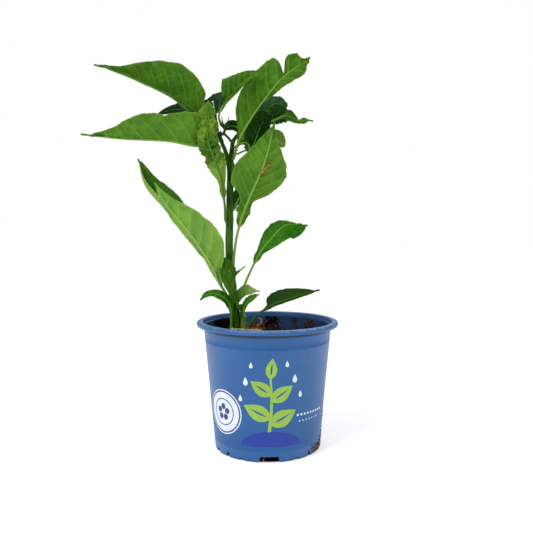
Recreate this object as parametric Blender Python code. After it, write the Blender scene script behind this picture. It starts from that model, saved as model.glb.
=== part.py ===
"""A young chilli pepper plant growing in a round nursery pot.

The pot is a thin moulded shell on a notched foot. Peat fills it below the rim, the roots run
through the peat, and one stem with two crown branches carries the leaves. All sizes are in
millimetres around the pot's own axis, with the bench at height 0. The last step moves the whole
plant so that the middle of its box, at bench height, is the origin.
"""
import bisect
import math
from collections import namedtuple

import bmesh
import bpy
from mathutils import Matrix, Vector
from mathutils.noise import noise

MM = 0.001
GAP = 0.3                  # clearance between two pieces that touch

# Pot
POT_HEIGHT = 107.0
RIM_RADIUS = 60.0
MOUTH_RADIUS = 54.4
LIP_DEPTH = 4.2            # height of the rolled rim
LIP_ROUND = 2.0            # height of its rounded top
LIP_UNDERCUT = 1.4         # its underside is drawn in this far
SHOULDER = 1.3             # step where the wall turns out into the rim
EDGE = 0.4                 # rounding of the pot's small edges
BAND_BOTTOM = 99.4         # lower edge of the thicker band under the rim
BAND_STEP = 0.5
WALL_TOP_RADIUS = 53.7
BASE_RADIUS = 44.6
WALL = 1.1
FLOOR_UNDERSIDE = 6.4
FLOOR_THICKNESS = 1.3
FOOT_WIDTH = 2.2
FLOOR_HOLE_RADIUS = 5.0
CORNER_HEIGHT = 9.0        # where the wall's inside turns into the floor, and how far it slopes in
CORNER_SLOPE = 1.2
POT_STEPS = 60             # facets round the pot

DRAIN_HOLES = 8
DRAIN_HOLE_RADIUS = 3.6
DRAIN_HOLE_CIRCLE = 34.0
DRAIN_HOLE_SIDES = 12
CUT_OVERRUN = 1.5          # how far a cutter reaches past the faces that it cuts

# Notches in the foot: width at the bench, width at the top and height. The wide one comes four
# times round, and each small one lies at its angle to both sides of the front and the back.
FOOT_TURN = 2.0            # degrees from the front to the middle of the first wide notch
WIDE_NOTCH = (16.5, 14.5, 4.8)
SMALL_NOTCHES = ((29, (5.0, 4.0, 1.9)), (47, (4.0, 2.6, 3.8)), (66, (5.0, 4.0, 2.6)))

# Peat: its level, the heap round the stem, and the clods that cling to the wall behind it
PEAT_LEVEL = 86.0
HEAP = (-15.0, 0.0, 13.0, 25.0)            # middle x and y, rise, spread
CLODS = ((5.0, 43.0, 12.0, 7.0), (-34.0, 36.0, 9.0, 8.0))
PEAT_CRUMB = (0.9, 7.0)    # height and breadth of the peat's unevenness
PEAT_RINGS = 11
PEAT_STEPS = 40

# Stem: points up its middle, and its radius at each
STEM_FOOT = (-26.0, -2.0, 91.0)
STEM_RIB = (STEM_FOOT, (-27, -2, 111), (-28.5, -2, 124), (-32, 0, 158), (-32, 0, 192), (-31, 1, 240))
STEM_RADII = (3.6, 3.2, 3.0, 2.9, 2.8, 2.7)
LEFT_BRANCH_RIB = ((-31.6, 0.8, 233), (-34.5, -1, 247), (-38, -3, 256), (-42, -5, 268), (-43, -6, 281))
LEFT_BRANCH_RADII = (2.0, 1.8, 1.6, 1.4, 1.0)
RIGHT_BRANCH_RIB = ((-30.4, 1.2, 233), (-30, 4, 251), (-29, 8, 259), (-24, 14, 266), (-13, 21, 273))
RIGHT_BRANCH_RADII = (2.1, 1.9, 1.7, 1.5, 1.1)
TWIG_RIB = ((-29.3, 7.0, 257), (-33.5, 2, 261.5), (-37, -1.5, 264.5))
TWIG_RADII = (1.3, 1.1, 1.0)
SHOOT_RIB = ((-20.2, -5, 91.5), (-20, -5, 108), (-21.2, -5.5, 121))
SHOOT_RADII = (2.5, 2.2, 1.6)
TUBE_SIDES = 8
SPAN_STEPS = 24            # short straight runs between two points of a smooth curve

# Roots: the taproot, and where each side root leaves it, turns and ends
TAPROOT = ((-26, -2, 90.4), (-23, -1, 70), (-20, 1, 48), (-16, 0, 22))
TAPROOT_RADII = (3.4, 2.6, 1.6, 0.7)
SIDE_ROOT_HEIGHTS = (82, 76, 70, 64, 57, 50, 43, 36)
SIDE_ROOT_TURN = 137.5     # degrees from one side root to the next
SIDE_ROOT_RADII = (1.1, 0.9, 0.5)
SIDE_ROOT_DROP = 14.0
SIDE_ROOT_REACH = 44.0     # the longest one, and how far each stays from the pot's wall
SIDE_ROOT_CLEAR = 4.0
SIDE_ROOT_BEND = (0.55, 0.3)    # it bends this far along, where it has dropped this share
BORE_DEPTH = 1.2           # how far a bore in the peat goes below the foot of what stands in it
BORE_GAP = 0.4             # and how far it clears it all round

CARRIERS = {
    "stem": (STEM_RIB, STEM_RADII),
    "left": (LEFT_BRANCH_RIB, LEFT_BRANCH_RADII),
    "right": (RIGHT_BRANCH_RIB, RIGHT_BRANCH_RADII),
    "twig": (TWIG_RIB, TWIG_RADII),
    "shoot": (SHOOT_RIB, SHOOT_RADII),
}
JOINT_RUN = 2.0            # a stalk leaves its carrier square to it for this far

# Leaf: it grows on its carrier at the place nearest the rib's first point, and the rib's first
# `stalk` points belong to the stalk. width is half the blade, face points out of its upper side,
# fold lifts both halves, widest is how far up the blade it is widest, point sharpens the tip,
# wave is the margin's ripple, stem is the stalk's radius, curl bends the halves further, and
# twist turns the blade about its rib from base to tip.
Leaf = namedtuple("Leaf", "name carrier rib stalk width face fold widest point wave stem curl twist",
                  defaults=(0, 0))

LEAVES = (
    Leaf("leaf_upper_left", "left",
         ((-44, -5, 271), (-51, -3, 274), (-58, 0, 278), (-67, 2, 286), (-91, 6, 300),
          (-126, 12, 316), (-148, 14, 325)),
         2, 28, (0.37, -0.8, 0.5), 45, 0.2, 1.7, 0.6, 1.1),
    Leaf("leaf_mid_left", "left",
         ((-42, -6, 258), (-47, -7, 256), (-52, -9, 254), (-58, -12, 252), (-79, -17, 255),
          (-118, -24, 256), (-148, -27, 259)),
         3, 24, (0.0, 0.41, 0.91), 51, 0.22, 1.2, 1.0, 1.1),
    Leaf("leaf_small_left_back", "left",
         ((-44, -5, 278), (-52, 8, 283), (-64, 16, 287), (-84, 26, 289), (-99, 32, 286)),
         2, 9, (0.2, -0.6, 0.75), 20, 0.35, 1.1, 0.4, 0.9),
    Leaf("leaf_crinkled", "stem",
         ((-34, -2, 192), (-35, -6, 203), (-37, -10, 213), (-39, -14, 227), (-43, -17, 240),
          (-48, -19, 256), (-49, -19, 270)),
         3, 11, (0.1, 0.85, 0.3), 20, 0.5, 0.7, 0.8, 1.1),
    Leaf("leaf_young_tip", "left",
         ((-44, -7, 270), (-47, -12, 271), (-49, -14, 276), (-48, -13, 288)),
         2, 6, (0.2, 0.9, 0.2), 30, 0.4, 0.8, 0.2, 0.8),
    Leaf("leaf_crown", "twig",
         ((-38, -3, 267), (-40, -6, 275), (-38, -9, 283), (-32, -12, 289), (-22, -14, 296),
          (-14, -16, 303), (-6, -17, 312)),
         3, 18, (-0.5, -0.7, 0.5), 42, 0.34, 0.8, 0.6, 1.0),
    Leaf("leaf_top_right", "right",
         ((-29, -2, 243), (-26, -5, 250), (-23, -7, 259), (-14, -10, 274), (-4, -12, 288),
          (13, -11, 308), (35, -6, 325)),
         3, 21.5, (-0.41, 0.84, 0.36), 36, 0.35, 0.8, 0.8, 1.1),
    Leaf("leaf_crown_back", "left",
         ((-43.5, -5, 281), (-46, 3, 287), (-50, 9, 292), (-57, 14, 294)),
         1, 5, (0.0, -0.6, 0.8), 15, 0.4, 1.0, 0.2, 0.7),
    Leaf("leaf_blistered", "right",
         ((-14, 21, 273), (-12, 24, 276), (-5, 28, 284), (7, 30, 293), (18, 31, 295)),
         1, 14, (-0.2, 0.9, 0.3), 20, 0.45, 0.6, 0.6, 0.9),
    Leaf("leaf_dark_cup", "right",
         ((-16.5, 18.5, 271), (-9, 19, 272), (1, 22, 277.5), (19, 24, 287)),
         2, 12, (0.0, -0.85, 0.4), 20, 0.5, 0.6, 0.3, 0.9, 10),
    Leaf("leaf_twisted", "right",
         ((-20, 16.6, 268.5), (-10, 13, 270), (4, 11, 274), (15, 9, 278), (27, 6, 277), (39, 3, 274)),
         3, 8, (0.1, -0.8, 0.5), 12, 0.35, 0.9, 0.8, 0.9),
    Leaf("leaf_small_pale", "right",
         ((-22, 15.3, 267), (-12, 17, 267), (1, 16, 267), (8, 14.5, 262), (15, 12, 255)),
         2, 7.5, (0.5, 0.75, 0.3), 14, 0.45, 0.8, 0.4, 0.8),
    Leaf("leaf_inner_dark", "right",
         ((-29.5, 4.2, 248), (-21, 6, 250), (-13, 7, 254), (-9, 8.5, 263), (-4, 9, 275), (4, 8, 282)),
         2, 13, (-0.3, -0.9, 0.2), 20, 0.45, 0.6, 0.5, 0.9),
    Leaf("leaf_cupped", "right",
         ((-30, 4, 253), (-25, -1, 257), (-20, -4, 260), (-17, -6, 257), (-17, -7, 252), (-18.5, -7, 246)),
         2, 4.2, (-0.3, 0.85, 0.1), 40, 0.5, 0.7, 0.2, 0.8, 20),
    Leaf("leaf_inner_left", "right",
         ((-24.5, 13.5, 265.5), (-25, 11, 270), (-30, 8, 272), (-37, 5, 268)),
         1, 6, (0.0, -0.5, 0.85), 18, 0.45, 0.8, 0.2, 0.8),
    Leaf("leaf_front", "stem",
         ((-30.5, -3, 156), (-28.5, -8, 164), (-26, -12, 180), (-20, -18, 199), (-14, -24, 210),
          (-3.5, -31, 231), (6, -33, 266)),
         4, 21, (-0.15, 0.95, 0.25), 10, 0.36, 0.75, 0.7, 1.2),
    Leaf("leaf_behind_front", "stem",
         ((-31, 4, 200), (-27, 7, 206), (-23, 9, 213), (-18, 9, 222)),
         1, 7, (0.0, 0.9, 0.3), 16, 0.45, 0.8, 0.4, 0.8),
    Leaf("leaf_lower_left", "stem",
         ((-29, -2, 127), (-35, -5, 130), (-40, -10, 139), (-44, -16, 150), (-52, -25, 166),
          (-65, -32, 185), (-80, -35, 204), (-88, -35, 220)),
         3, 20.5, (0.48, 0.74, 0.47), 20, 0.36, 0.8, 0.4, 1.1),
    Leaf("leaf_lower_left_back", "stem",
         ((-31, 0, 126), (-37, 2, 132), (-46, 5, 145), (-58, 9, 165), (-72, 13, 182), (-91, 16, 204),
          (-106, 17, 222), (-112, 15, 245)),
         3, 16.5, (0.74, -0.46, 0.49), 47, 0.5, 0.9, 0.4, 1.1),
    Leaf("leaf_mid_right", "stem",
         ((-26, -3, 127), (-21.5, -6, 131), (-18, -8.5, 139), (-14, -10, 149), (-10, -12, 160),
          (-3, -14, 172), (6, -15, 182), (18, -13, 187), (33, -8, 187)),
         4, 12.5, (-0.25, -0.87, 0.4), -8, 0.47, 0.8, 0.7, 1.1, -10, -35),
    Leaf("leaf_low_right", "shoot",
         ((-17.6, -6, 103), (-10, -8, 110), (-4, -9, 116), (1, -10, 119), (17, -12, 127), (43, -11, 133)),
         3, 11, (-0.15, -0.6, 0.8), 30, 0.38, 0.9, 0.3, 1.0),
    Leaf("leaf_drooping", None,
         ((-31.6, -7.5, 92.5), (-31.6, -7.5, 110), (-32.5, -9, 119), (-37, -12, 127), (-46, -16, 131),
          (-55, -19, 126)),
         3, 5.5, (0.0, -0.3, 0.95), 26, 0.45, 0.8, 0.4, 1.1, -10),
    Leaf("leaf_front_of_stem", "shoot",
         ((-22, -6, 119.5), (-25, -12, 124), (-28, -16, 134), (-30.3, -15.5, 146), (-36.5, -12.5, 162)),
         2, 6.8, (0.15, -0.95, 0.2), 8, 0.5, 0.6, 0.8, 0.9, -10),
    Leaf("leaf_spike_right", "stem",
         ((-28, -4.8, 145), (-25, -6.5, 149), (-17.5, -8, 154)),
         1, 1.8, (0.3, 0.6, -0.6), 20, 0.4, 0.8, 0.0, 0.6),
    Leaf("leaf_spike_left", "stem",
         ((-32.2, -3.3, 136), (-37, -4, 140), (-46, -5, 145)),
         1, 2.2, (0.3, 0.6, 0.6), 20, 0.4, 0.8, 0.0, 0.6),
    Leaf("leaf_base_pale", "stem",
         ((-26.4, 2, 124), (-20, 4, 129), (-6, 6, 132)),
         1, 6.5, (-0.2, 0.9, -0.1), 10, 0.45, 0.7, 0.5, 0.8),
    Leaf("leaf_sprout", "shoot",
         ((-19, -7.5, 111), (-19, -9, 116), (-17, -9.5, 123), (-7, -11.5, 130)),
         2, 4.2, (-0.4, -0.8, 0.4), 26, 0.45, 0.8, 0.3, 0.8),
)
STALK_STEP = 7.0           # millimetres of stalk per section
STALK_SIDES = 8
STALK_TAPER = 0.25         # share of its radius that a stalk loses on the way to the blade
BLADE_SECTIONS = 11
BLADE_START = 0.35         # the first section's distance from the blade's base, in sections
BLADE_END = 0.985          # share of the blade where its tip is cut blunt
BLADE_THICKNESS = 0.5
BLADE_EDGE = 0.3           # least half width of a blade, at its blunt tip
BLADE_SLIM = 0.3           # most half thickness of a blade, as a share of its half width
KEEL = (0.8, 0.35)         # depth of the rib under the blade: share of its radius, and least depth
RIPPLE_TURN = 11.0         # radians of the margin's ripple from base to tip

# Flower buds: carrier, the place on it, middle of the bud, its radius, length of its sepals
BUDS = (
    ("flower_bud_upper", "twig", (-34.5, 0.8, 262.5), (-34.5, -5.0, 267.5), 1.5, 7.5),
    ("flower_bud_lower", "twig", (-36.0, -0.7, 263.8), (-38.5, -9.0, 262.5), 1.5, 2.0),
)
SEPALS = 5
BUD_STALK_RADII = (0.5, 0.6)
BUD_TIP = 0.45             # radius of the bud's tip, as a share of its own
SEPAL_RADII = (0.5, 0.45, 0.2)
SEPAL_SPREAD = (0.2, 0.35)      # how far a sepal has spread at its bend and tip, in lengths
SEPAL_REACH = (0.3, 0.8)        # and how far it has run on past the bud's middle

# Litter on the peat: where each bark chip lies, its length, breadth, thickness and turn
CHIPS = (
    (-13.0, 3.0, 5.5, 3.2, 2.0, 20),
    (-13.5, -3.5, 4.2, 2.6, 1.8, 75),
    (-7.0, -0.5, 4.6, 2.4, 1.6, -35),
    (-4.0, 6.0, 5.0, 2.8, 1.5, 5),
    (12.0, 2.0, 4.4, 2.6, 1.4, 50),
)
CHIP_OUTLINE = ((0.5, 0.1), (0.25, 0.5), (-0.3, 0.45), (-0.5, -0.05), (-0.2, -0.5), (0.35, -0.42))
CHIP_TOP = 0.75            # size of a chip's upper face against its lower one
CURL_FOOT = (-8.0, 6.0)
CURL_RIB = ((-9, 6, 100.5), (-6, 5.5, 103), (-5.5, 7, 106), (-8.5, 8, 107.5))
CURL_RADII = (0.8, 0.8, 0.7, 0.6, 0.3)
CURL_LIFT = 0.9            # the curl's blunt foot clears the peat by this much
ROOT_END_RIB = ((-0.5, -34, 7.2), (-1.2, -35, 5.4), (-2.4, -39, 3.8), (-3.2, -43.3, 1.0))
ROOT_END_RADII = (0.7, 0.7, 0.7, 0.4)


# ---- tools -------------------------------------------------------------------------------------

def clear_scene():
    for thing in list(bpy.data.objects):
        bpy.data.objects.remove(thing, do_unlink=True)


def finish(name, colour, roughness):
    """A plain Principled material."""
    material = bpy.data.materials.get(name)
    if material is None:
        material = bpy.data.materials.new(name)
        material.use_nodes = True
        shader = material.node_tree.nodes["Principled BSDF"]
        shader.inputs["Base Color"].default_value = (*colour, 1.0)
        shader.inputs["Roughness"].default_value = roughness
        shader.inputs["Metallic"].default_value = 0.0
        material.diffuse_color = (*colour, 1.0)
    return material


def new_object(name, bm, material, anchor, scale=MM):
    """Turn a millimetre bmesh into a smooth-shaded object in metres, under the anchor."""
    bmesh.ops.scale(bm, vec=(scale, scale, scale), verts=bm.verts)
    bmesh.ops.recalc_face_normals(bm, faces=bm.faces)
    mesh = bpy.data.meshes.new(name)
    bm.to_mesh(mesh)
    bm.free()
    mesh.shade_smooth()
    mesh.set_sharp_from_angle(angle=math.radians(35))
    if material is not None:
        mesh.materials.append(material)
    thing = bpy.data.objects.new(name, mesh)
    bpy.context.scene.collection.objects.link(thing)
    thing.parent = anchor
    return thing


def hide_tool(thing):
    """A cutter is drawn as wire and never rendered."""
    thing.hide_render = True
    thing.display_type = "WIRE"


def add_boolean(thing, tool, operation):
    modifier = thing.modifiers.new(operation.title(), "BOOLEAN")
    modifier.operation = operation
    modifier.object = tool
    modifier.solver = "EXACT"


def spline_point(before, start, end, after, share):
    """A point between start and end on the centripetal Catmull-Rom curve through all four."""
    one = (start - before).length ** 0.5
    two = one + (end - start).length ** 0.5
    three = two + (after - end).length ** 0.5
    now = one + (two - one) * share
    near = before.lerp(start, now / one)
    middle = start.lerp(end, (now - one) / (two - one))
    far = end.lerp(after, (now - two) / (three - two))
    near = near.lerp(middle, now / two)
    far = middle.lerp(far, (now - one) / (three - one))
    return near.lerp(far, (now - one) / (two - one))


def smooth_path(points, count):
    """Even points along a smooth curve, each control point's share of it, a reader, its length."""
    knots = [Vector(p) for p in points]
    knots = [knots[0] * 2 - knots[1], *knots, knots[-1] * 2 - knots[-2]]
    fine = []
    for i in range(len(knots) - 3):
        fine += [spline_point(*knots[i:i + 4], j / SPAN_STEPS) for j in range(SPAN_STEPS)]
    fine.append(knots[-2])
    lengths = [0.0]
    for one, two in zip(fine, fine[1:]):
        lengths.append(lengths[-1] + (two - one).length)
    marks = [lengths[i * SPAN_STEPS] / lengths[-1] for i in range(len(points))]

    def at(share):
        goal = min(max(share, 0.0), 1.0) * lengths[-1]
        i = min(bisect.bisect_left(lengths, goal, 1), len(fine) - 1)
        return fine[i - 1].lerp(fine[i], (goal - lengths[i - 1]) / (lengths[i] - lengths[i - 1]))

    return [at(i / (count - 1)) for i in range(count)], marks, at, lengths[-1]


def loft(bm, rings):
    """Join closed rings of equal size into one capped solid.

    The diagonals on the first half of a ring mirror those on the second half, so that the two
    sides of a thin, bent sheet never pass through each other.
    """
    rows = [[bm.verts.new(p) for p in ring] for ring in rings]
    size = len(rows[0])
    for one, two in zip(rows, rows[1:]):
        for i in range(size):
            j = (i + 1) % size
            if i < size // 2:
                bm.faces.new((one[i], one[j], two[j]))
                bm.faces.new((one[i], two[j], two[i]))
            else:
                bm.faces.new((one[i], one[j], two[i]))
                bm.faces.new((one[j], two[j], two[i]))
    bm.faces.new(rows[0][::-1])
    bm.faces.new(rows[-1])


def circle(radius, z, sides, centre=Vector((0, 0, 0))):
    """Points round a level circle."""
    turns = (2 * math.pi * n / sides for n in range(sides))
    return [centre + Vector((radius * math.cos(a), radius * math.sin(a), z)) for a in turns]


def radius_at(along, marks, radii):
    """The radius at a share of a path's length, between those given at its marks."""
    for k in range(len(marks) - 1):
        if along <= marks[k + 1]:
            share = (along - marks[k]) / (marks[k + 1] - marks[k])
            return radii[k] + (radii[k + 1] - radii[k]) * share
    return radii[-1]


def tube(bm, points, radii, sides=TUBE_SIDES, sections=12, grow=0.0):
    """A tapering round tube along a smooth path."""
    points = [Vector(p) for p in points]
    if grow:
        points[0] = points[0] + (points[0] - points[1]).normalized() * grow
        points[-1] = points[-1] + (points[-1] - points[-2]).normalized() * grow
    centres, marks, _, _ = smooth_path(points, sections)
    rings = []
    side = Vector((1, 0, 0))
    for i, centre in enumerate(centres):
        ahead = centres[min(i + 1, sections - 1)] - centres[max(i - 1, 0)]
        ahead.normalize()
        side = (side - ahead * side.dot(ahead)).normalized()
        over = ahead.cross(side)
        radius = radius_at(i / (sections - 1), marks, radii) + grow
        rings.append([centre + side * (radius * math.cos(a)) + over * (radius * math.sin(a))
                      for a in (2 * math.pi * n / sides for n in range(sides))])
    loft(bm, rings)


def tube_object(name, points, radii, material, anchor, sections=12, grow=0.0):
    bm = bmesh.new()
    tube(bm, points, radii, sections=sections, grow=grow)
    return new_object(name, bm, material, anchor)


# ---- pot ---------------------------------------------------------------------------------------

def outer_radius(z):
    return BASE_RADIUS + (WALL_TOP_RADIUS - BASE_RADIUS) * z / BAND_BOTTOM


def inner_radius(z):
    return outer_radius(z) - WALL


def pot_profile():
    """Radius and height round the wall's section, from the mouth down the outside and back up."""
    lip_bottom = POT_HEIGHT - LIP_DEPTH
    lip_middle = (RIM_RADIUS + MOUTH_RADIUS) / 2
    half_lip = RIM_RADIUS - lip_middle
    band_radius = WALL_TOP_RADIUS + BAND_STEP
    outline = [(MOUTH_RADIUS, POT_HEIGHT - SHOULDER), (MOUTH_RADIUS + EDGE, POT_HEIGHT - EDGE)]
    for degrees in (90, 60, 30, 0):
        turn = math.radians(degrees)
        outline.append((lip_middle + half_lip * math.cos(turn),
                        POT_HEIGHT - LIP_ROUND + LIP_ROUND * math.sin(turn)))
    outline += [
        (RIM_RADIUS - EDGE, lip_bottom + EDGE),
        (RIM_RADIUS - LIP_UNDERCUT, lip_bottom),
        (band_radius + 2 * EDGE, lip_bottom + EDGE),
        (band_radius, lip_bottom - EDGE),
        (band_radius, BAND_BOTTOM + EDGE),
        (WALL_TOP_RADIUS, BAND_BOTTOM),
        (outer_radius(CORNER_HEIGHT), CORNER_HEIGHT),
        (outer_radius(2 * EDGE), 2 * EDGE),
        (BASE_RADIUS - EDGE, 0),
        (BASE_RADIUS - FOOT_WIDTH, 0),
        (BASE_RADIUS - FOOT_WIDTH, FLOOR_UNDERSIDE),
        (FLOOR_HOLE_RADIUS, FLOOR_UNDERSIDE),
        (FLOOR_HOLE_RADIUS, FLOOR_UNDERSIDE + FLOOR_THICKNESS),
        (inner_radius(CORNER_HEIGHT) - CORNER_SLOPE, FLOOR_UNDERSIDE + FLOOR_THICKNESS),
        (inner_radius(CORNER_HEIGHT), CORNER_HEIGHT),
        (inner_radius(BAND_BOTTOM), BAND_BOTTOM),
        (MOUTH_RADIUS - SHOULDER, lip_bottom + EDGE),
        (MOUTH_RADIUS - EDGE, lip_bottom + 2 * EDGE),
    ]
    return outline


def foot_cutter(anchor):
    """The notches of the foot ring, and the drain holes of the floor."""
    bm = bmesh.new()
    notches = [(turn, WIDE_NOTCH) for turn in (0, 90, 180, 270)]
    for angle, size in SMALL_NOTCHES:
        notches += [(turn, size) for turn in (angle, -angle, 180 - angle, 180 + angle)]
    for turn, (bottom, top, height) in notches:
        facing = math.radians(turn + FOOT_TURN)
        out = Vector((math.sin(facing), -math.cos(facing), 0))
        across = Vector((math.cos(facing), math.sin(facing), 0))
        rings = []
        for reach in (BASE_RADIUS - FOOT_WIDTH - CUT_OVERRUN, BASE_RADIUS + CUT_OVERRUN):
            rings.append([out * reach + across * x + Vector((0, 0, z)) for x, z in (
                (-bottom / 2, -CUT_OVERRUN), (bottom / 2, -CUT_OVERRUN),
                (top / 2, height), (-top / 2, height))])
        loft(bm, rings)
    for i in range(DRAIN_HOLES):
        turn = 2 * math.pi * i / DRAIN_HOLES
        centre = Vector((math.cos(turn), math.sin(turn), 0)) * DRAIN_HOLE_CIRCLE
        loft(bm, [circle(DRAIN_HOLE_RADIUS, z, DRAIN_HOLE_SIDES, centre)
                  for z in (FLOOR_UNDERSIDE - CUT_OVERRUN, FLOOR_UNDERSIDE + FLOOR_THICKNESS + CUT_OVERRUN)])
    cutter = new_object("foot_cutter", bm, None, anchor)
    hide_tool(cutter)
    return cutter


def make_pot(anchor):
    bm = bmesh.new()
    verts = [bm.verts.new((r, 0, z)) for r, z in pot_profile()]
    edges = [bm.edges.new((verts[i], verts[(i + 1) % len(verts)])) for i in range(len(verts))]
    bmesh.ops.spin(bm, geom=verts + edges, cent=(0, 0, 0), axis=(0, 0, 1),
                   angle=2 * math.pi, steps=POT_STEPS, use_merge=True)
    pot = new_object("pot", bm, finish("pot_plastic", (0.08, 0.21, 0.5), 0.45), anchor)
    add_boolean(pot, foot_cutter(anchor), "DIFFERENCE")
    return pot


# ---- peat and roots ----------------------------------------------------------------------------

def peat_height(x, y):
    crumb, breadth = PEAT_CRUMB
    height = PEAT_LEVEL + crumb * noise(Vector((x / breadth, y / breadth, 0)))
    for middle_x, middle_y, rise, spread in (HEAP, *CLODS):
        height += rise * math.exp(-((x - middle_x) ** 2 + (y - middle_y) ** 2) / spread ** 2)
    return height


def peat_solid(anchor):
    """Rings of points over the heaped top, down the pot's wall and across its floor."""
    bm = bmesh.new()
    bottom = FLOOR_UNDERSIDE + FLOOR_THICKNESS + GAP
    facet = math.cos(math.pi / POT_STEPS)      # the pot's flats lie this much inside its corners
    rows = []
    for ring in range(1, PEAT_RINGS + 1):
        radius = (inner_radius(PEAT_LEVEL) * facet - GAP) * ring / PEAT_RINGS
        rows.append([bm.verts.new((p.x, p.y, peat_height(p.x, p.y)))
                     for p in circle(radius, 0, PEAT_STEPS)])
    corner = inner_radius(CORNER_HEIGHT) * facet - GAP
    for radius, z in ((corner, CORNER_HEIGHT + GAP), (corner - CORNER_SLOPE, bottom)):
        rows.append([bm.verts.new(p) for p in circle(radius, z, PEAT_STEPS)])
    for one, two in zip(rows, rows[1:]):
        for i in range(PEAT_STEPS):
            j = (i + 1) % PEAT_STEPS
            bm.faces.new((one[i], two[i], two[j], one[j]))
    top = bm.verts.new((0, 0, peat_height(0, 0)))
    low = bm.verts.new((0, 0, bottom))
    for i in range(PEAT_STEPS):
        j = (i + 1) % PEAT_STEPS
        bm.faces.new((top, rows[0][i], rows[0][j]))
        bm.faces.new((low, rows[-1][j], rows[-1][i]))
    return new_object("peat", bm, finish("peat", (0.06, 0.035, 0.02), 0.95), anchor)


def side_root_paths():
    """Each side root leaves the taproot a turn further round, runs out and bends down."""
    paths = []
    _, _, at, _ = smooth_path(TAPROOT, 2)
    top, bottom = TAPROOT[0][2], TAPROOT[-1][2]
    for i, height in enumerate(SIDE_ROOT_HEIGHTS):
        foot = at((top - height) / (top - bottom))
        turn = math.radians(SIDE_ROOT_TURN * (i + 0.2))
        out = Vector((math.cos(turn), math.sin(turn), 0))
        wall = inner_radius(height - SIDE_ROOT_DROP) - SIDE_ROOT_CLEAR
        across = foot.dot(out)
        room = -across + math.sqrt(max(across ** 2 - (foot.x ** 2 + foot.y ** 2) + wall ** 2, 0))
        reach = min(room, SIDE_ROOT_REACH)
        along, dropped = SIDE_ROOT_BEND
        middle = foot + out * (reach * along) - Vector((0, 0, SIDE_ROOT_DROP * dropped))
        end = foot + out * reach - Vector((0, 0, SIDE_ROOT_DROP))
        paths.append((foot, middle, end))
    return paths


def root_system(name, material, anchor, grow=0.0):
    """The taproot with its side roots as one solid, or the hollow that it fills."""
    roots = tube_object(name, TAPROOT, TAPROOT_RADII, material, anchor, sections=14, grow=grow)
    for i, path in enumerate(side_root_paths()):
        bm = bmesh.new()
        tube(bm, path, SIDE_ROOT_RADII, sides=6, sections=6, grow=grow)
        side = new_object(f"{name}_side_{i + 1}", bm, None, anchor)
        hide_tool(side)
        add_boolean(roots, side, "UNION")
    return roots


def bore_peat(peat, anchor):
    """The hollows that the roots, the stem, the basal shoot and the lowest stalk fill."""
    hollow = root_system("root_hollow", None, anchor, grow=GAP)
    hide_tool(hollow)
    add_boolean(peat, hollow, "DIFFERENCE")
    lowest = next(leaf for leaf in LEAVES if leaf.name == "leaf_drooping")
    for name, rib, radii in (("stem_bore", STEM_RIB[:2], STEM_RADII[:2]),
                             ("shoot_bore", SHOOT_RIB[:2], SHOOT_RADII[:2]),
                             ("stalk_bore", lowest.rib[:2], (lowest.stem, lowest.stem))):
        foot = Vector(rib[0]) - Vector((0, 0, BORE_DEPTH))
        bore = tube_object(name, (foot, rib[0], rib[1]), (radii[0], *radii), None, anchor,
                           sections=6, grow=BORE_GAP)
        hide_tool(bore)
        add_boolean(peat, bore, "DIFFERENCE")


# ---- stem --------------------------------------------------------------------------------------

def make_stem(anchor):
    """The main stem with its two crown branches and the flowering twig, grown as one."""
    green = finish("stem_green", (0.07, 0.2, 0.03), 0.5)
    stem = tube_object("main_stem", STEM_RIB, STEM_RADII, green, anchor, sections=18)
    for name, rib, radii in (("left_branch", LEFT_BRANCH_RIB, LEFT_BRANCH_RADII),
                             ("right_branch", RIGHT_BRANCH_RIB, RIGHT_BRANCH_RADII),
                             ("twig", TWIG_RIB, TWIG_RADII)):
        branch = tube_object(f"{name}_shape", rib, radii, None, anchor, sections=9)
        hide_tool(branch)
        add_boolean(stem, branch, "UNION")
    shoot = tube_object("basal_shoot", SHOOT_RIB, SHOOT_RADII, green, anchor, sections=8)
    return stem, shoot


# ---- leaves ------------------------------------------------------------------------------------

def blade_share(leaf, t):
    """Half width of the blade at t from 0 at its base to 1 at its tip, as a share of the widest."""
    rise = leaf.point * leaf.widest / (1 - leaf.widest)
    peak = leaf.widest ** rise * (1 - leaf.widest) ** leaf.point
    return (t ** rise) * ((1 - t) ** leaf.point) / peak


def half_blade(leaf, sign, across, up, width, share):
    """Offset from the rib, and the surface's own upward direction, part way out to the margin."""
    turn = math.radians(leaf.fold + leaf.curl * share * 0.5)
    out = across * (sign * math.cos(turn)) + up * math.sin(turn)
    normal = up * math.cos(turn) - across * (sign * math.sin(turn))
    return out * (width * share), normal


def joint_on(carrier, near, towards):
    """The place just off a carrier's skin where a stalk starts, and the way it leaves."""
    rib, radii = CARRIERS[carrier]
    _, marks, at, _ = smooth_path(rib, 2)
    places = [i / 60 for i in range(61)]
    place = min(places, key=lambda share: (at(share) - near).length)
    centre = at(place)
    along = (at(min(place + 0.02, 1)) - at(max(place - 0.02, 0))).normalized()
    out = towards - centre
    out = (out - along * out.dot(along)).normalized()
    return centre + out * (radius_at(place, marks, radii) + GAP), out


def leaf_rib(leaf):
    """The leaf's rib with its foot seated on the carrier, and how many points the stalk has."""
    rib = [Vector(p) for p in leaf.rib]
    if leaf.carrier is None:
        return rib, leaf.stalk
    foot, out = joint_on(leaf.carrier, rib[0], rib[1])
    return [foot, foot + out * JOINT_RUN] + rib[1:], leaf.stalk + 1


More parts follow.
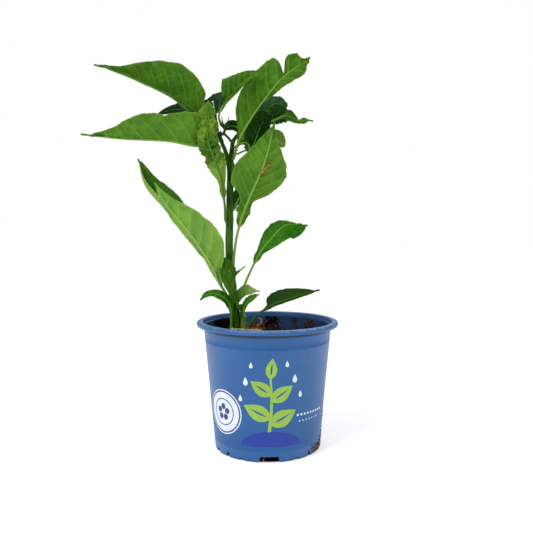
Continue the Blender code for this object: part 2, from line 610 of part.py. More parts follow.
def leaf_stations(leaf, marks, stalk, length):
    """The shares of the rib's length where the leaf has a section, and where its blade starts."""
    start = marks[stalk]
    first = marks[1] if leaf.carrier else 0.0
    steps = max(1, round(length * (start - first) / STALK_STEP))
    stations = [0.0] if leaf.carrier else []
    stations += [first + (start - first) * i / steps for i in range(steps)]
    steps = BLADE_SECTIONS - 1 + BLADE_START
    blade_steps = [(i + BLADE_START) / steps for i in range(BLADE_SECTIONS)]
    return stations + [start + (1 - start) * t for t in blade_steps], start


def leaf_frames(leaf, at, stations, start):
    """Centre, up and across at each station: the blade keeps its face, the stalk follows it."""
    headings = [(at(s + 0.01) - at(s - 0.01)).normalized() for s in stations]
    ups = []
    for station, ahead in zip(reversed(stations), reversed(headings)):
        if station > start:
            share = (station - start) / (1 - start)
            up = Matrix.Rotation(math.radians(leaf.twist * share), 3, ahead) @ Vector(leaf.face)
        else:
            up = ups[-1]
        ups.append((up - ahead * up.dot(ahead)).normalized())
    ups.reverse()
    return [(at(s), up, up.cross(ahead)) for s, up, ahead in zip(stations, ups, headings)]


def leaf_solid(leaf, material, anchor):
    """One closed body: a round stalk that flattens into the folded blade with its rib beneath."""
    rib, stalk = leaf_rib(leaf)
    _, marks, at, length = smooth_path(rib, 2)
    stations, start = leaf_stations(leaf, marks, stalk, length)
    rings = []
    for share, (centre, up, across) in zip(stations, leaf_frames(leaf, at, stations, start)):
        t = (share - start) / (1 - start)
        radius = leaf.stem * (1 - STALK_TAPER * min(share / start, 1))
        if t <= 0:
            rings.append([centre + across * (radius * math.cos(a)) + up * (radius * math.sin(a))
                          for a in (2 * math.pi * n / STALK_SIDES for n in range(STALK_SIDES))])
            continue
        width = max(leaf.width * blade_share(leaf, min(t, BLADE_END)), radius * (1 - t) + BLADE_EDGE)
        keel = radius * (1 - t) * KEEL[0] + KEEL[1]
        ripple = leaf.wave * math.sin(t * RIPPLE_TURN)
        left_edge, left_up = half_blade(leaf, 1, across, up, width, 1)
        left_mid, left_mid_up = half_blade(leaf, 1, across, up, width, 0.5)
        right_edge, right_up = half_blade(leaf, -1, across, up, width, 1)
        right_mid, right_mid_up = half_blade(leaf, -1, across, up, width, 0.5)
        half = min(BLADE_THICKNESS / 2, width * BLADE_SLIM)
        rings.append([
            centre + left_edge + left_up * ripple,
            centre + left_mid + left_mid_up * half,
            centre + up * half,
            centre + right_mid + right_mid_up * half,
            centre + right_edge - right_up * ripple,
            centre + right_mid - right_mid_up * half,
            centre - up * keel,
            centre + left_mid - left_mid_up * half,
        ])
    bm = bmesh.new()
    loft(bm, rings)
    return new_object(leaf.name, bm, material, anchor)


def make_leaves(anchor):
    green = finish("leaf_green", (0.07, 0.25, 0.02), 0.45)
    return [leaf_solid(leaf, green, anchor) for leaf in LEAVES]


# ---- buds and litter ---------------------------------------------------------------------------

def bud_solid(name, carrier, near, middle, radius, sepal, material, anchor):
    """A short stalk, a round bud and a crown of pointed sepals as one solid."""
    middle = Vector(middle)
    foot, out = joint_on(carrier, Vector(near), middle)
    axis = (middle - foot).normalized()
    bm = bmesh.new()
    end = middle + axis * radius
    tube(bm, (foot, foot + out, middle, end), (*BUD_STALK_RADII, radius, radius * BUD_TIP),
         sections=8)
    bud = new_object(name, bm, material, anchor)
    side = axis.orthogonal().normalized()
    over = axis.cross(side)
    for i in range(SEPALS):
        turn = 2 * math.pi * i / SEPALS
        out = side * math.cos(turn) + over * math.sin(turn)
        path = [middle + out * (radius * 0.5)]
        for spread, reach in zip(SEPAL_SPREAD, SEPAL_REACH):
            path.append(middle + out * (radius + sepal * spread) + axis * sepal * reach)
        piece = bmesh.new()
        tube(piece, path, SEPAL_RADII, sides=5, sections=5)
        sepal_shape = new_object(f"{name}_sepal_{i + 1}", piece, None, anchor)
        hide_tool(sepal_shape)
        add_boolean(bud, sepal_shape, "UNION")
    return bud


def chip_solid(index, chip, material, anchor):
    """A flat, six-sided splinter of bark lying on the peat."""
    x, y, length, breadth, thick, turn = chip
    turn = math.radians(turn)
    corners = []
    for u, v in CHIP_OUTLINE:
        u, v = u * length, v * breadth
        corners.append((x + u * math.cos(turn) - v * math.sin(turn),
                        y + u * math.sin(turn) + v * math.cos(turn)))
    bm = bmesh.new()
    rest = max(peat_height(cx, cy) for cx, cy in corners + [(x, y)]) + GAP
    rings = [[Vector((cx, cy, rest)) for cx, cy in corners],
             [Vector((x + (cx - x) * CHIP_TOP, y + (cy - y) * CHIP_TOP, rest + thick))
              for cx, cy in corners]]
    loft(bm, rings)
    return new_object(f"bark_chip_{index}", bm, material, anchor)


def make_litter(anchor):
    bark = finish("bark", (0.4, 0.26, 0.13), 0.9)
    straw = finish("straw", (0.55, 0.42, 0.1), 0.8)
    for index, chip in enumerate(CHIPS, 1):
        chip_solid(index, chip, bark, anchor)
    foot = (*CURL_FOOT, peat_height(*CURL_FOOT) + CURL_LIFT)
    tube_object("dry_curl", (foot, *CURL_RIB), CURL_RADII, straw, anchor)
    tube_object("root_end", ROOT_END_RIB, ROOT_END_RADII, straw, anchor, sections=8)


# ---- assembly ----------------------------------------------------------------------------------

def centre_on_origin(anchor):
    """Move the anchor so that the middle of the whole box, at its lowest point, is the origin."""
    bpy.context.view_layer.update()
    graph = bpy.context.evaluated_depsgraph_get()
    low = Vector((1e9, 1e9, 1e9))
    high = -low
    for thing in bpy.data.objects:
        if thing.type != "MESH" or thing.hide_render:
            continue
        mesh = thing.evaluated_get(graph).data
        for vertex in mesh.vertices:
            for axis in range(3):
                low[axis] = min(low[axis], vertex.co[axis])
                high[axis] = max(high[axis], vertex.co[axis])
    anchor.location = (-(low.x + high.x) / 2, -(low.y + high.y) / 2, -low.z)


clear_scene()
plant_in_pot = bpy.data.objects.new("plant_in_pot", None)
bpy.context.scene.collection.objects.link(plant_in_pot)

make_pot(plant_in_pot)
peat = peat_solid(plant_in_pot)
root_system("roots", finish("root_tan", (0.6, 0.48, 0.3), 0.85), plant_in_pot)
bore_peat(peat, plant_in_pot)
make_stem(plant_in_pot)
make_leaves(plant_in_pot)
for bud in BUDS:
    bud_solid(*bud, finish("bud_green", (0.05, 0.16, 0.03), 0.5), plant_in_pot)
make_litter(plant_in_pot)
centre_on_origin(plant_in_pot)
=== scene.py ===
"""A young chilli pepper plant in its nursery pot, on a pale floor under soft studio light.

Each section below is one kind of piece, in the order in which a grower puts them together: the
pot, its print, the peat and roots, the litter, the stem, the leaves and the buds. Sizes are in
millimetres around the pot's axis, with the bench at height 0, and `real` turns them into the
frame's metres. The floor, the light and the camera come last.
"""

import bisect
import math
from collections import namedtuple
from functools import partial, reduce

import bmesh
import bpy
import numpy as np
from mathutils import Matrix, Vector
from mathutils.noise import noise


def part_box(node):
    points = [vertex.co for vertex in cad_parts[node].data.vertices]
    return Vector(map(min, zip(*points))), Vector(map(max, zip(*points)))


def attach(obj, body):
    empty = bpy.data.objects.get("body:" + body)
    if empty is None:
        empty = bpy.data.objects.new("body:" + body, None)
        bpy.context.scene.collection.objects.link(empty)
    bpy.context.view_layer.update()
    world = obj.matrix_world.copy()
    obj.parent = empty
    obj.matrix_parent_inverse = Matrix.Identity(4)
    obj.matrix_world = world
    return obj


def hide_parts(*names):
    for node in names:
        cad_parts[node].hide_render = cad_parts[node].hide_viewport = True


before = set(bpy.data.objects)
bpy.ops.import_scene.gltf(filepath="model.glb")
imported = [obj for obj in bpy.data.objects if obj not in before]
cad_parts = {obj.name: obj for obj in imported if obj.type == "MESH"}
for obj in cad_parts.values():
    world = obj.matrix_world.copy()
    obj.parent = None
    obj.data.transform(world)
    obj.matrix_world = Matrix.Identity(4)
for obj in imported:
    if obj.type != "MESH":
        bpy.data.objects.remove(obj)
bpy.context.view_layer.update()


# ---- The pot -----------------------------------------------------------------------------------
# A thin blue nursery pot, injection moulded in one piece from recycled polypropylene: a rolled
# rim, a thicker band under it, a tapering wall and a notched foot ring round a floor with drain
# holes. The plastic is satin, lightly scuffed, and stained with peat inside and at the foot.

MM = 0.001
POT_LOW, POT_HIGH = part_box("pot")
AXIS = np.array([(POT_LOW.x + POT_HIGH.x) / 2, (POT_LOW.y + POT_HIGH.y) / 2, 0.0])
POT_HEIGHT = (POT_HIGH.z - POT_LOW.z) / MM
RIM_RADIUS = (POT_HIGH.x - POT_LOW.x) / 2 / MM
MOUTH_RADIUS = 54.4
LIP_DEPTH = 4.2            # height of the rolled rim
LIP_ROUND = 2.0            # height of its rounded top
LIP_UNDERCUT = 1.4         # its underside is drawn in this far
SHOULDER = 1.3             # step where the wall turns out into the rim
EDGE = 0.4                 # rounding of the pot's small edges
BAND_BOTTOM = 99.4
BAND_RADIUS = 54.2
WALL_TOP_RADIUS = 53.7
BASE_RADIUS = 44.6
WALL = 1.1
FLOOR_TOP = 7.7
FLOOR_UNDERSIDE = 6.4
FOOT_WIDTH = 2.2
FLOOR_HOLE_RADIUS = 5.0
CORNER_HEIGHT = 9.0        # where the wall's inside turns into the floor, and how far it slopes in
CORNER_SLOPE = 1.2
MOULD_LINES = ((90.6, 0.14), (8.6, 0.12))   # height of the fine rings round the wall, and how proud
POT_STEPS = 180
FOOT_TURN = 2.0            # degrees from the front to the middle of the first wide notch
WIDE_NOTCH = (16.5, 14.5, 4.8)           # width at the bench, width at the top, height
SMALL_NOTCHES = ((29, (5.0, 4.0, 1.9)), (47, (4.0, 2.6, 3.8)), (66, (5.0, 4.0, 2.6)))
CUT_OVERRUN = 1.5
DRAIN_HOLES = 8
DRAIN_HOLE_RADIUS = 3.6
DRAIN_HOLE_CIRCLE = 34.0
PLASTIC = (20, 86, 148)
PLASTIC_SCUFF = (60, 116, 172)
PLASTIC_CREST_HIGHLIGHT = (130, 168, 208)
PLASTIC_PAINTED_SHADE = (4, 40, 92)
GROOVE_PAINTED_SHADE = (4, 14, 36)
PEAT_STAIN = (58, 36, 20)
GROOVE_SHADE_RISE = ((100.3, 101.0), (103.8, 103.2))    # heights over which the groove's painted shade sets in
GROOVE_SHADE_REACH = ((59.7, 59.0), (BAND_RADIUS - 0.7, BAND_RADIUS - 0.3))    # and the radii
CREST_RISE = (104.6, 106.4)                      # and those of the painted highlight on the rim's crest
CREST_REACH = (54.9, 56.2)
SPECK_CELLS = 0.06         # cells per millimetre, each with one speck of dirt
SPECK_EDGE = (0.055, 0.025)
STAIN_RISE = (106.0, 86.0)                       # the stains inside thicken between these heights
FOOT_DIRT_RISE = (9.0, 0.0)                      # and the dirt at the foot between these


def real(points):
    """Millimetres round the pot's axis to metres in the frame."""
    return np.asarray(points, float) * MM + AXIS


def colour(red, green, blue):
    """Display values from 0 to 255 as a linear colour."""
    values = [value / 255 for value in (red, green, blue)]
    return (*(v / 12.92 if v < 0.04045 else ((v + 0.055) / 1.055) ** 2.4 for v in values), 1.0)


def wire(tree, kind, values=None, **settings):
    """A new node with its settings, and each input linked to a socket or set to a value."""
    node = tree.nodes.new(kind)
    for name, value in settings.items():
        setattr(node, name, value)
    for key, value in (values or {}).items():
        if isinstance(value, bpy.types.NodeSocket):
            tree.links.new(value, node.inputs[key])
        else:
            node.inputs[key].default_value = value
    return node


def sums(tree, operation, *values):
    """The result of a Math node."""
    return wire(tree, "ShaderNodeMath", dict(enumerate(values)), operation=operation).outputs[0]


def vectors(tree, operation, values, output="Vector"):
    """A result of a Vector Math node."""
    return wire(tree, "ShaderNodeVectorMath", values, operation=operation).outputs[output]


def times(tree, *values):
    """The product of two or more values."""
    return reduce(partial(sums, tree, "MULTIPLY"), values)


def plus(tree, *values):
    """The sum of two or more values."""
    return reduce(partial(sums, tree, "ADD"), values)


def step(tree, value, low, high, to_low=0.0, to_high=1.0):
    """A smooth step of a value from one range to another."""
    ends = {"Value": value, "From Min": low, "From Max": high, "To Min": to_low, "To Max": to_high}
    return wire(tree, "ShaderNodeMapRange", ends, interpolation_type="SMOOTHSTEP").outputs[0]


def mixed(tree, share, one, two):
    """Two colours mixed by a share from 0 to 1."""
    return wire(tree, "ShaderNodeMix", {0: share, 6: one, 7: two}, data_type="RGBA").outputs[2]


def grain(tree, place, scale, detail=3.0, roughness=0.5, stretch=None):
    """Noise from 0 to 1, with scale in cells per millimetre, and stretched where asked."""
    if stretch:
        place = wire(tree, "ShaderNodeMapping", {"Vector": place, "Scale": stretch}).outputs[0]
    return wire(tree, "ShaderNodeTexNoise", {"Vector": place, "Scale": scale, "Detail": detail,
                                             "Roughness": roughness}).outputs[0]


def start_material(name, **shine):
    """A Principled material, its shader, and a place on the piece in millimetres round the axis."""
    material = bpy.data.materials.new(name)
    material.use_nodes = True
    tree = material.node_tree
    shader = tree.nodes["Principled BSDF"]
    for socket, value in shine.items():
        shader.inputs[socket.replace("_", " ")].default_value = value
    spot = wire(tree, "ShaderNodeTexCoord").outputs["Object"]
    place = wire(tree, "ShaderNodeMapping", {"Vector": spot, "Location": tuple(-AXIS / MM),
                                             "Scale": (1 / MM,) * 3}).outputs[0]
    return material, tree, shader, place


def dress(tree, shader, base, rough, height, depth):
    """Feed a shader its colour, its roughness and a bump of so many millimetres."""
    tree.links.new(base, shader.inputs["Base Color"])
    tree.links.new(rough, shader.inputs["Roughness"])
    bump = wire(tree, "ShaderNodeBump", {"Height": height, "Distance": depth * MM})
    tree.links.new(bump.outputs[0], shader.inputs["Normal"])


def linked(name, data):
    """A new object in the scene."""
    thing = bpy.data.objects.new(name, data)
    bpy.context.scene.collection.objects.link(thing)
    return thing


def baked(name, thing):
    """The plain mesh of an object with its modifiers, which takes the object's place."""
    graph = bpy.context.evaluated_depsgraph_get()
    mesh = bpy.data.meshes.new_from_object(thing.evaluated_get(graph))
    mesh.name = name
    bpy.data.objects.remove(thing)
    return mesh


def mesh_of(name, bm):
    """A mesh with all that a bmesh holds."""
    mesh = bpy.data.meshes.new(name)
    bm.to_mesh(mesh)
    bm.free()
    return mesh


def in_place(name, bm):
    """A millimetre bmesh as a mesh in its place in the frame, with its faces pointing out."""
    bmesh.ops.recalc_face_normals(bm, faces=bm.faces)
    bmesh.ops.scale(bm, vec=(MM, MM, MM), verts=bm.verts)
    bmesh.ops.translate(bm, vec=AXIS, verts=bm.verts)
    return mesh_of(name, bm)


def add_piece(name, mesh, material, sharp=40):
    """A smooth-shaded object at the origin, for a mesh that is already in its place."""
    mesh.materials.clear()
    mesh.materials.append(material)
    mesh.shade_smooth()
    mesh.set_sharp_from_angle(angle=math.radians(sharp))
    return linked(name, mesh)


def belongs(piece, slot, *nodes):
    """The piece rides with the one body and stands for these CAD nodes; the slot is not used."""
    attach(piece, "root")
    if nodes:
        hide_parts(*nodes)


def start_shape(name, inputs):
    """A Geometry Nodes tree with a geometry, named inputs and a result."""
    tree = bpy.data.node_groups.new(name, "GeometryNodeTree")
    face = tree.interface
    face.new_socket(name="Geometry", in_out="INPUT", socket_type="NodeSocketGeometry")
    for title, kind in inputs.items():
        face.new_socket(name=title, in_out="INPUT", socket_type="NodeSocket" + kind)
    face.new_socket(name="Material", in_out="INPUT", socket_type="NodeSocketMaterial")
    face.new_socket(name="Geometry", in_out="OUTPUT", socket_type="NodeSocketGeometry")
    return tree, tree.nodes.new("NodeGroupInput").outputs


def end_shape(tree, given, geometry):
    """Close a tree: its instances become real and take the material."""
    solid = wire(tree, "GeometryNodeRealizeInstances", {0: geometry}).outputs[0]
    dressed = wire(tree, "GeometryNodeSetMaterial", {"Geometry": solid, "Material": given["Material"]})
    wire(tree, "NodeGroupOutput", {0: dressed.outputs[0]})


def shaped(name, source, tree, **values):
    """The plain mesh that a tree makes from a mesh or a curve."""
    carrier = linked(name, source)
    modifier = carrier.modifiers.new(tree.name, "NODES")
    modifier.node_group = tree
    for item in tree.interface.items_tree:
        key = item.name.replace(" ", "_")
        if item.in_out == "INPUT" and key in values:
            modifier[item.identifier] = values[key]
    return baked(name, carrier)


def outer_radius(z):
    return BASE_RADIUS + (WALL_TOP_RADIUS - BASE_RADIUS) * z / BAND_BOTTOM


def inner_radius(z):
    return outer_radius(z) - WALL


def pot_profile():
    """Radius and height round the wall's section, from the mouth down the outside and back up."""
    lip_bottom = POT_HEIGHT - LIP_DEPTH
    lip_middle = (RIM_RADIUS + MOUTH_RADIUS) / 2
    half_lip = RIM_RADIUS - lip_middle
    outline = [(MOUTH_RADIUS, POT_HEIGHT - SHOULDER), (MOUTH_RADIUS + EDGE, POT_HEIGHT - EDGE)]
    for degrees in range(105, -16, -15):
        turn = math.radians(degrees)
        outline.append((lip_middle + half_lip * math.cos(turn),
                        POT_HEIGHT - LIP_ROUND + LIP_ROUND * math.sin(turn)))
    outline += [
        (RIM_RADIUS - EDGE, lip_bottom + EDGE),
        (RIM_RADIUS - 2 * EDGE, lip_bottom + EDGE / 4),
        (RIM_RADIUS - LIP_UNDERCUT, lip_bottom),
        (BAND_RADIUS + 2 * EDGE, lip_bottom + EDGE),
        (BAND_RADIUS + EDGE / 2, lip_bottom),
        (BAND_RADIUS, lip_bottom - EDGE),
        (BAND_RADIUS, BAND_BOTTOM + EDGE),
        (WALL_TOP_RADIUS, BAND_BOTTOM),
    ]
    for line, proud in MOULD_LINES:
        for above, out in ((EDGE, 0), (EDGE / 2, proud), (-EDGE / 2, proud), (-EDGE, 0)):
            outline.append((outer_radius(line + above) + out, line + above))
    outline += [
        (outer_radius(2 * EDGE), 2 * EDGE),
        (BASE_RADIUS - EDGE / 4, EDGE / 4),
        (BASE_RADIUS - EDGE, 0),
        (BASE_RADIUS - FOOT_WIDTH + EDGE, 0),
        (BASE_RADIUS - FOOT_WIDTH, EDGE),
        (BASE_RADIUS - FOOT_WIDTH, FLOOR_UNDERSIDE),
        (FLOOR_HOLE_RADIUS, FLOOR_UNDERSIDE),
        (FLOOR_HOLE_RADIUS, FLOOR_TOP),
        (inner_radius(CORNER_HEIGHT) - CORNER_SLOPE, FLOOR_TOP),
        (inner_radius(CORNER_HEIGHT), CORNER_HEIGHT),
        (inner_radius(BAND_BOTTOM), BAND_BOTTOM),
        (MOUTH_RADIUS - SHOULDER, lip_bottom + EDGE),
        (MOUTH_RADIUS - EDGE, lip_bottom + 2 * EDGE),
    ]
    return outline


def ring_of_cuts_tree():
    """Copies of one cutter, evenly round the pot's axis, the first of them at the turn."""
    tree, given = start_shape("ring_of_cuts", {"Count": "Int", "Turn": "Float"})
    ring = wire(tree, "GeometryNodePoints", {"Count": given["Count"], "Position": tuple(AXIS)})
    index = wire(tree, "GeometryNodeInputIndex").outputs[0]
    turn = sums(tree, "MULTIPLY_ADD", sums(tree, "DIVIDE", index, given["Count"]), 2 * math.pi,
                given["Turn"])
    spin = wire(tree, "ShaderNodeCombineXYZ", {"Z": turn}).outputs[0]
    spin = wire(tree, "FunctionNodeEulerToRotation", {0: spin}).outputs[0]
    copies = wire(tree, "GeometryNodeInstanceOnPoints", {
        "Points": ring.outputs[0], "Instance": given["Geometry"], "Rotation": spin})
    end_shape(tree, given, copies.outputs[0])
    return tree


def notch_shape(bottom, top, height):
    """One foot notch at the front, in metres round the axis, as a closed wedge."""
    bm = bmesh.new()
    rows = []
    for reach in (BASE_RADIUS - FOOT_WIDTH - CUT_OVERRUN, BASE_RADIUS + CUT_OVERRUN):
        rows.append([bm.verts.new((x * MM, -reach * MM, z * MM)) for x, z in (
            (-bottom / 2, -CUT_OVERRUN), (bottom / 2, -CUT_OVERRUN), (top / 2, height), (-top / 2, height))])
    for i in range(4):
        bm.faces.new((rows[0][i], rows[0][i - 1], rows[1][i - 1], rows[1][i]))
    bm.faces.new(rows[0])
    bm.faces.new(rows[1][::-1])
    bmesh.ops.recalc_face_normals(bm, faces=bm.faces)
    return bm


def hole_shape():
    """One drain hole through the floor, in metres round the axis."""
    bm = bmesh.new()
    bmesh.ops.create_cone(bm, cap_ends=True, segments=28, radius1=DRAIN_HOLE_RADIUS * MM,
                          radius2=DRAIN_HOLE_RADIUS * MM, depth=(FLOOR_TOP - FLOOR_UNDERSIDE + 3) * MM)
    bmesh.ops.translate(bm, verts=bm.verts,
                        vec=(DRAIN_HOLE_CIRCLE * MM, 0, (FLOOR_TOP + FLOOR_UNDERSIDE) / 2 * MM))
    return bm


def pot_mesh():
    """The turned wall, less its notches and holes."""
    bm = bmesh.new()
    verts = [bm.verts.new((r, 0, z)) for r, z in pot_profile()]
    edges = [bm.edges.new((verts[i - 1], verts[i])) for i in range(len(verts))]
    bmesh.ops.spin(bm, geom=verts + edges, cent=(0, 0, 0), axis=(0, 0, 1),
                   angle=2 * math.pi, steps=POT_STEPS, use_merge=True)
    pot = linked("turned_pot", in_place("turned_pot", bm))
    ring = ring_of_cuts_tree()
    cuts = [(hole_shape(), DRAIN_HOLES, 0.0), (notch_shape(*WIDE_NOTCH), 4, FOOT_TURN)]
    for angle, size in SMALL_NOTCHES:
        cuts += [(notch_shape(*size), 2, FOOT_TURN + angle), (notch_shape(*size), 2, FOOT_TURN - angle)]
    cutters = []
    for i, (bm, count, turn) in enumerate(cuts):
        mesh = shaped(f"cuts_{i}", mesh_of(f"cut_{i}", bm), ring, Count=count, Turn=math.radians(turn))
        cutters.append(linked(f"cuts_{i}", mesh))
        modifier = pot.modifiers.new(f"cut_{i}", "BOOLEAN")
        modifier.operation = "DIFFERENCE"
        modifier.solver = "EXACT"
        modifier.object = cutters[-1]
    shell = baked("pot_shell", pot)
    for cutter in cutters:
        bpy.data.objects.remove(cutter)
    return shell


def plastic_material():
    """Satin blue plastic: faint flow marks, scuffs, dust, and peat stains inside and at the foot."""
    material, tree, shader, place = start_material("pot_plastic", Specular_IOR_Level=0.5)
    parts = wire(tree, "ShaderNodeSeparateXYZ", {0: place}).outputs
    across = wire(tree, "ShaderNodeCombineXYZ", {"X": parts["X"], "Y": parts["Y"]}).outputs[0]
    from_axis = vectors(tree, "LENGTH", {0: across}, "Value")
    flow = grain(tree, place, 0.02, stretch=(1, 1, 3))
    base = mixed(tree, step(tree, flow, 0.3, 0.7), colour(*PLASTIC), colour(*(v * 1.05 for v in PLASTIC)))
    scratches = grain(tree, place, 0.25, detail=6.0, roughness=0.7, stretch=(1, 1, 0.12))
    scuffed = step(tree, scratches, 0.62, 0.78, 0.0, 0.35)
    base = mixed(tree, scuffed, base, colour(*PLASTIC_SCUFF))
    # the wall's inner side: painted shade all over it, and peat splashed and dried on it, most of it low down
    wall_line = sums(tree, "MULTIPLY_ADD", parts["Z"], (WALL_TOP_RADIUS - BASE_RADIUS) / BAND_BOTTOM,
                     BASE_RADIUS - WALL / 2)
    inside = step(tree, sums(tree, "SUBTRACT", wall_line, from_axis), 0.0, 0.2)
    base = mixed(tree, times(tree, inside, 0.6), base, colour(*PLASTIC_PAINTED_SHADE))
    # painted shade in the groove under the rim
    groove = times(tree, *(step(tree, parts["Z"], *ends) for ends in GROOVE_SHADE_RISE),
                   *(step(tree, from_axis, *ends) for ends in GROOVE_SHADE_REACH))
    base = mixed(tree, groove, base, colour(*GROOVE_PAINTED_SHADE))
    # a painted highlight along the rim's crest, broken into pale patches
    patches = step(tree, grain(tree, place, 0.4, detail=6.0, roughness=0.6), 0.4, 0.68, 0.1, 0.65)
    crest_highlight = times(tree, step(tree, parts["Z"], *CREST_RISE), step(tree, from_axis, *CREST_REACH), patches)
    base = mixed(tree, crest_highlight, base, colour(*PLASTIC_CREST_HIGHLIGHT))
    blots = grain(tree, place, 0.11, detail=8.0, roughness=0.66)
    low = step(tree, parts["Z"], *STAIN_RISE, 0.0, 0.16)
    stain = times(tree, step(tree, plus(tree, blots, low), 0.62, 0.68), inside)
    # crumbs of peat that stick at the foot and dot the outside
    foot = step(tree, parts["Z"], *FOOT_DIRT_RISE, 0.0, 0.22)
    dirt = step(tree, plus(tree, grain(tree, place, 0.6, detail=5.0, roughness=0.6), foot), 0.79, 0.84)
    dots = wire(tree, "ShaderNodeTexVoronoi", {"Vector": place, "Scale": SPECK_CELLS}).outputs["Distance"]
    specks = step(tree, dots, *SPECK_EDGE)
    dirt = sums(tree, "MAXIMUM", sums(tree, "MAXIMUM", stain, dirt), specks)
    base = mixed(tree, dirt, base, colour(*PEAT_STAIN))
    rough = plus(tree, sums(tree, "MULTIPLY_ADD", dirt, 0.35, 0.34), times(tree, scratches, 0.12))
    fine = grain(tree, place, 2.2, detail=2.0)
    height = plus(tree, times(tree, fine, 0.5), times(tree, dirt, 1.5))
    dress(tree, shader, base, rough, height, 0.05)
    return material


pot = add_piece("nursery_pot", pot_mesh(), plastic_material(), sharp=50)
belongs(pot, "pot_plastic", "pot")


# ---- The print on the pot ----------------------------------------------------------------------
# Four flat inks laid on the wall after moulding: a sprouting seedling over a hill with drops of
# water, a round seal with a ring of petals at its left and two dotted rules at its right. The ink
# films are a few hundredths of a millimetre thick and bend with the wall.

INK_PROUD = 0.05
INK_DEEP = 0.06
INK_BEND = 1.6             # width of the strips that let a flat print bend round the wall
INK_COLOURS = {"lime": (150, 190, 72), "deep_blue": (28, 58, 160), "white": (226, 234, 246),
               "purple": (64, 60, 130)}
SEAL_MIDDLE = (-39.5, 37.5)
SEAL_RADIUS = 18.5
SEAL_LINES = ((1.0, 2.2, 64), (7.2, 8.0, 56))    # how far in each ring starts and ends, and its points
PETALS = 5
PETAL_CIRCLE = 4.6
PETAL_RADIUS = 2.5
# Start, number and radius of the dots of each rule.
RULES = (((25.0, 37.5), 9, 0.95, 20), ((26.7, 32.3), 7, 0.6, 16))
RULE_STEP = 3.4
# Place and size of each drop.
DROPS = ((-17.5, 66, 2.8), (-22.0, 52, 2.2), (-13.0, 79, 2.0), (22.0, 68, 2.8), (27.0, 55, 2.2),
         (15.5, 80, 2.0))
SEEDLING_FOOT = 22.0
SEEDLING_HEIGHT = 48.0
SEEDLING_SWAY = (1.0, 2.2, 2.6)                  # its middle, its sway, and radians from foot to top
SEEDLING_RUNS = 12
SEEDLING_WIDTHS = (2.8, 0.1)                     # at the foot, and how much less with each run
# Height on the printed stalk, length, width and lean of each leaf.
SEED_LEAVES = ((31.0, 24.0, 13.5, 62), (36.0, 24.0, 13.0, -64), (50.0, 21.0, 11.5, 54),
               (55.0, 20.0, 11.0, -56), (68.0, 17.0, 9.0, 6))
SEED_VEIN = (1.3, 0.18, 0.6)                     # width of a leaf's bare vein, its start and its share
HILL = (3, 13, 25, 0, 180, 40, 0.5)              # middle, radius, turns, points and squash


def arc_points(x, z, radius, start=0.0, end=360.0, count=48, squash=1.0):
    """Points along an arc on the flat print, anticlockwise from its right-hand side."""
    turns = [math.radians(start + (end - start) * i / count) for i in range(count + (end - start < 360))]
    return [(x + radius * math.cos(t), z + radius * squash * math.sin(t)) for t in turns]


def leaf_points(x, z, length, width, turn, count=18):
    """A pointed leaf that starts at a place and leans by a turn from upright."""
    side = [(width / 2 * math.sin(math.pi * (i / count) ** 0.8), length * i / count)
            for i in range(count + 1)]
    flat = side + [(-across, along) for across, along in side[-2:0:-1]]
    turn = math.radians(turn)
    return [(x + a * math.cos(turn) + b * math.sin(turn), z - a * math.sin(turn) + b * math.cos(turn))
            for a, b in flat]


def stripe_points(path, widths):
    """A stripe along a path, as wide at each of its points as the list says."""
    left, right = [], []
    for i, (x, z) in enumerate(path):
        before, after = path[max(i - 1, 0)], path[min(i + 1, len(path) - 1)]
        run = Vector((after[0] - before[0], after[1] - before[1])).normalized()
        half = widths[i] / 2
        left.append((x - run.y * half, z + run.x * half))
        right.append((x + run.y * half, z - run.x * half))
    return left + right[::-1]


def drop_points(x, z, size, count=24):
    """A falling drop with its point up."""
    turns = [2 * math.pi * i / count for i in range(count)]
    return [(x + size * math.sin(t) * math.sin(t / 2) ** 1.5, z + size * 1.25 * math.cos(t)) for t in turns]


def ink_mesh(name, outlines, layer):
    """Flat outlines filled, cut into upright strips, thickened and wrapped round the wall."""
    bm = bmesh.new()
    for outline, *holes in outlines:
        patch = bmesh.new()
        for loop in (outline, *holes):
            verts = [patch.verts.new((x, 0, z)) for x, z in loop]
            for i in range(len(verts)):
                patch.edges.new((verts[i - 1], verts[i]))
        bmesh.ops.triangle_fill(patch, edges=patch.edges, use_beauty=True, normal=(0, -1, 0))
        part = mesh_of("patch", patch)
        bm.from_mesh(part)
        bpy.data.meshes.remove(part)
    low = min(v.co.x for v in bm.verts)
    high = max(v.co.x for v in bm.verts)
    for i in range(1, int((high - low) / INK_BEND) + 1):
        whole = bm.verts[:] + bm.edges[:] + bm.faces[:]
        bmesh.ops.bisect_plane(bm, geom=whole, plane_co=(low + i * INK_BEND, 0, 0), plane_no=(1, 0, 0))
    bmesh.ops.recalc_face_normals(bm, faces=bm.faces)
    if bm.faces[0].normal.y > 0:
        bmesh.ops.reverse_faces(bm, faces=bm.faces)
    made = bmesh.ops.extrude_face_region(bm, geom=bm.faces[:], use_keep_orig=True)
    outer = {v for v in made["geom"] if isinstance(v, bmesh.types.BMVert)}
    for v in bm.verts:
        depth = INK_PROUD * (layer + 1) if v in outer else -INK_DEEP
        radius = outer_radius(v.co.z) + depth
        turn = v.co.x / outer_radius(v.co.z)
        v.co = Vector((math.sin(turn) * radius, -math.cos(turn) * radius, v.co.z))
    return in_place(name, bm)


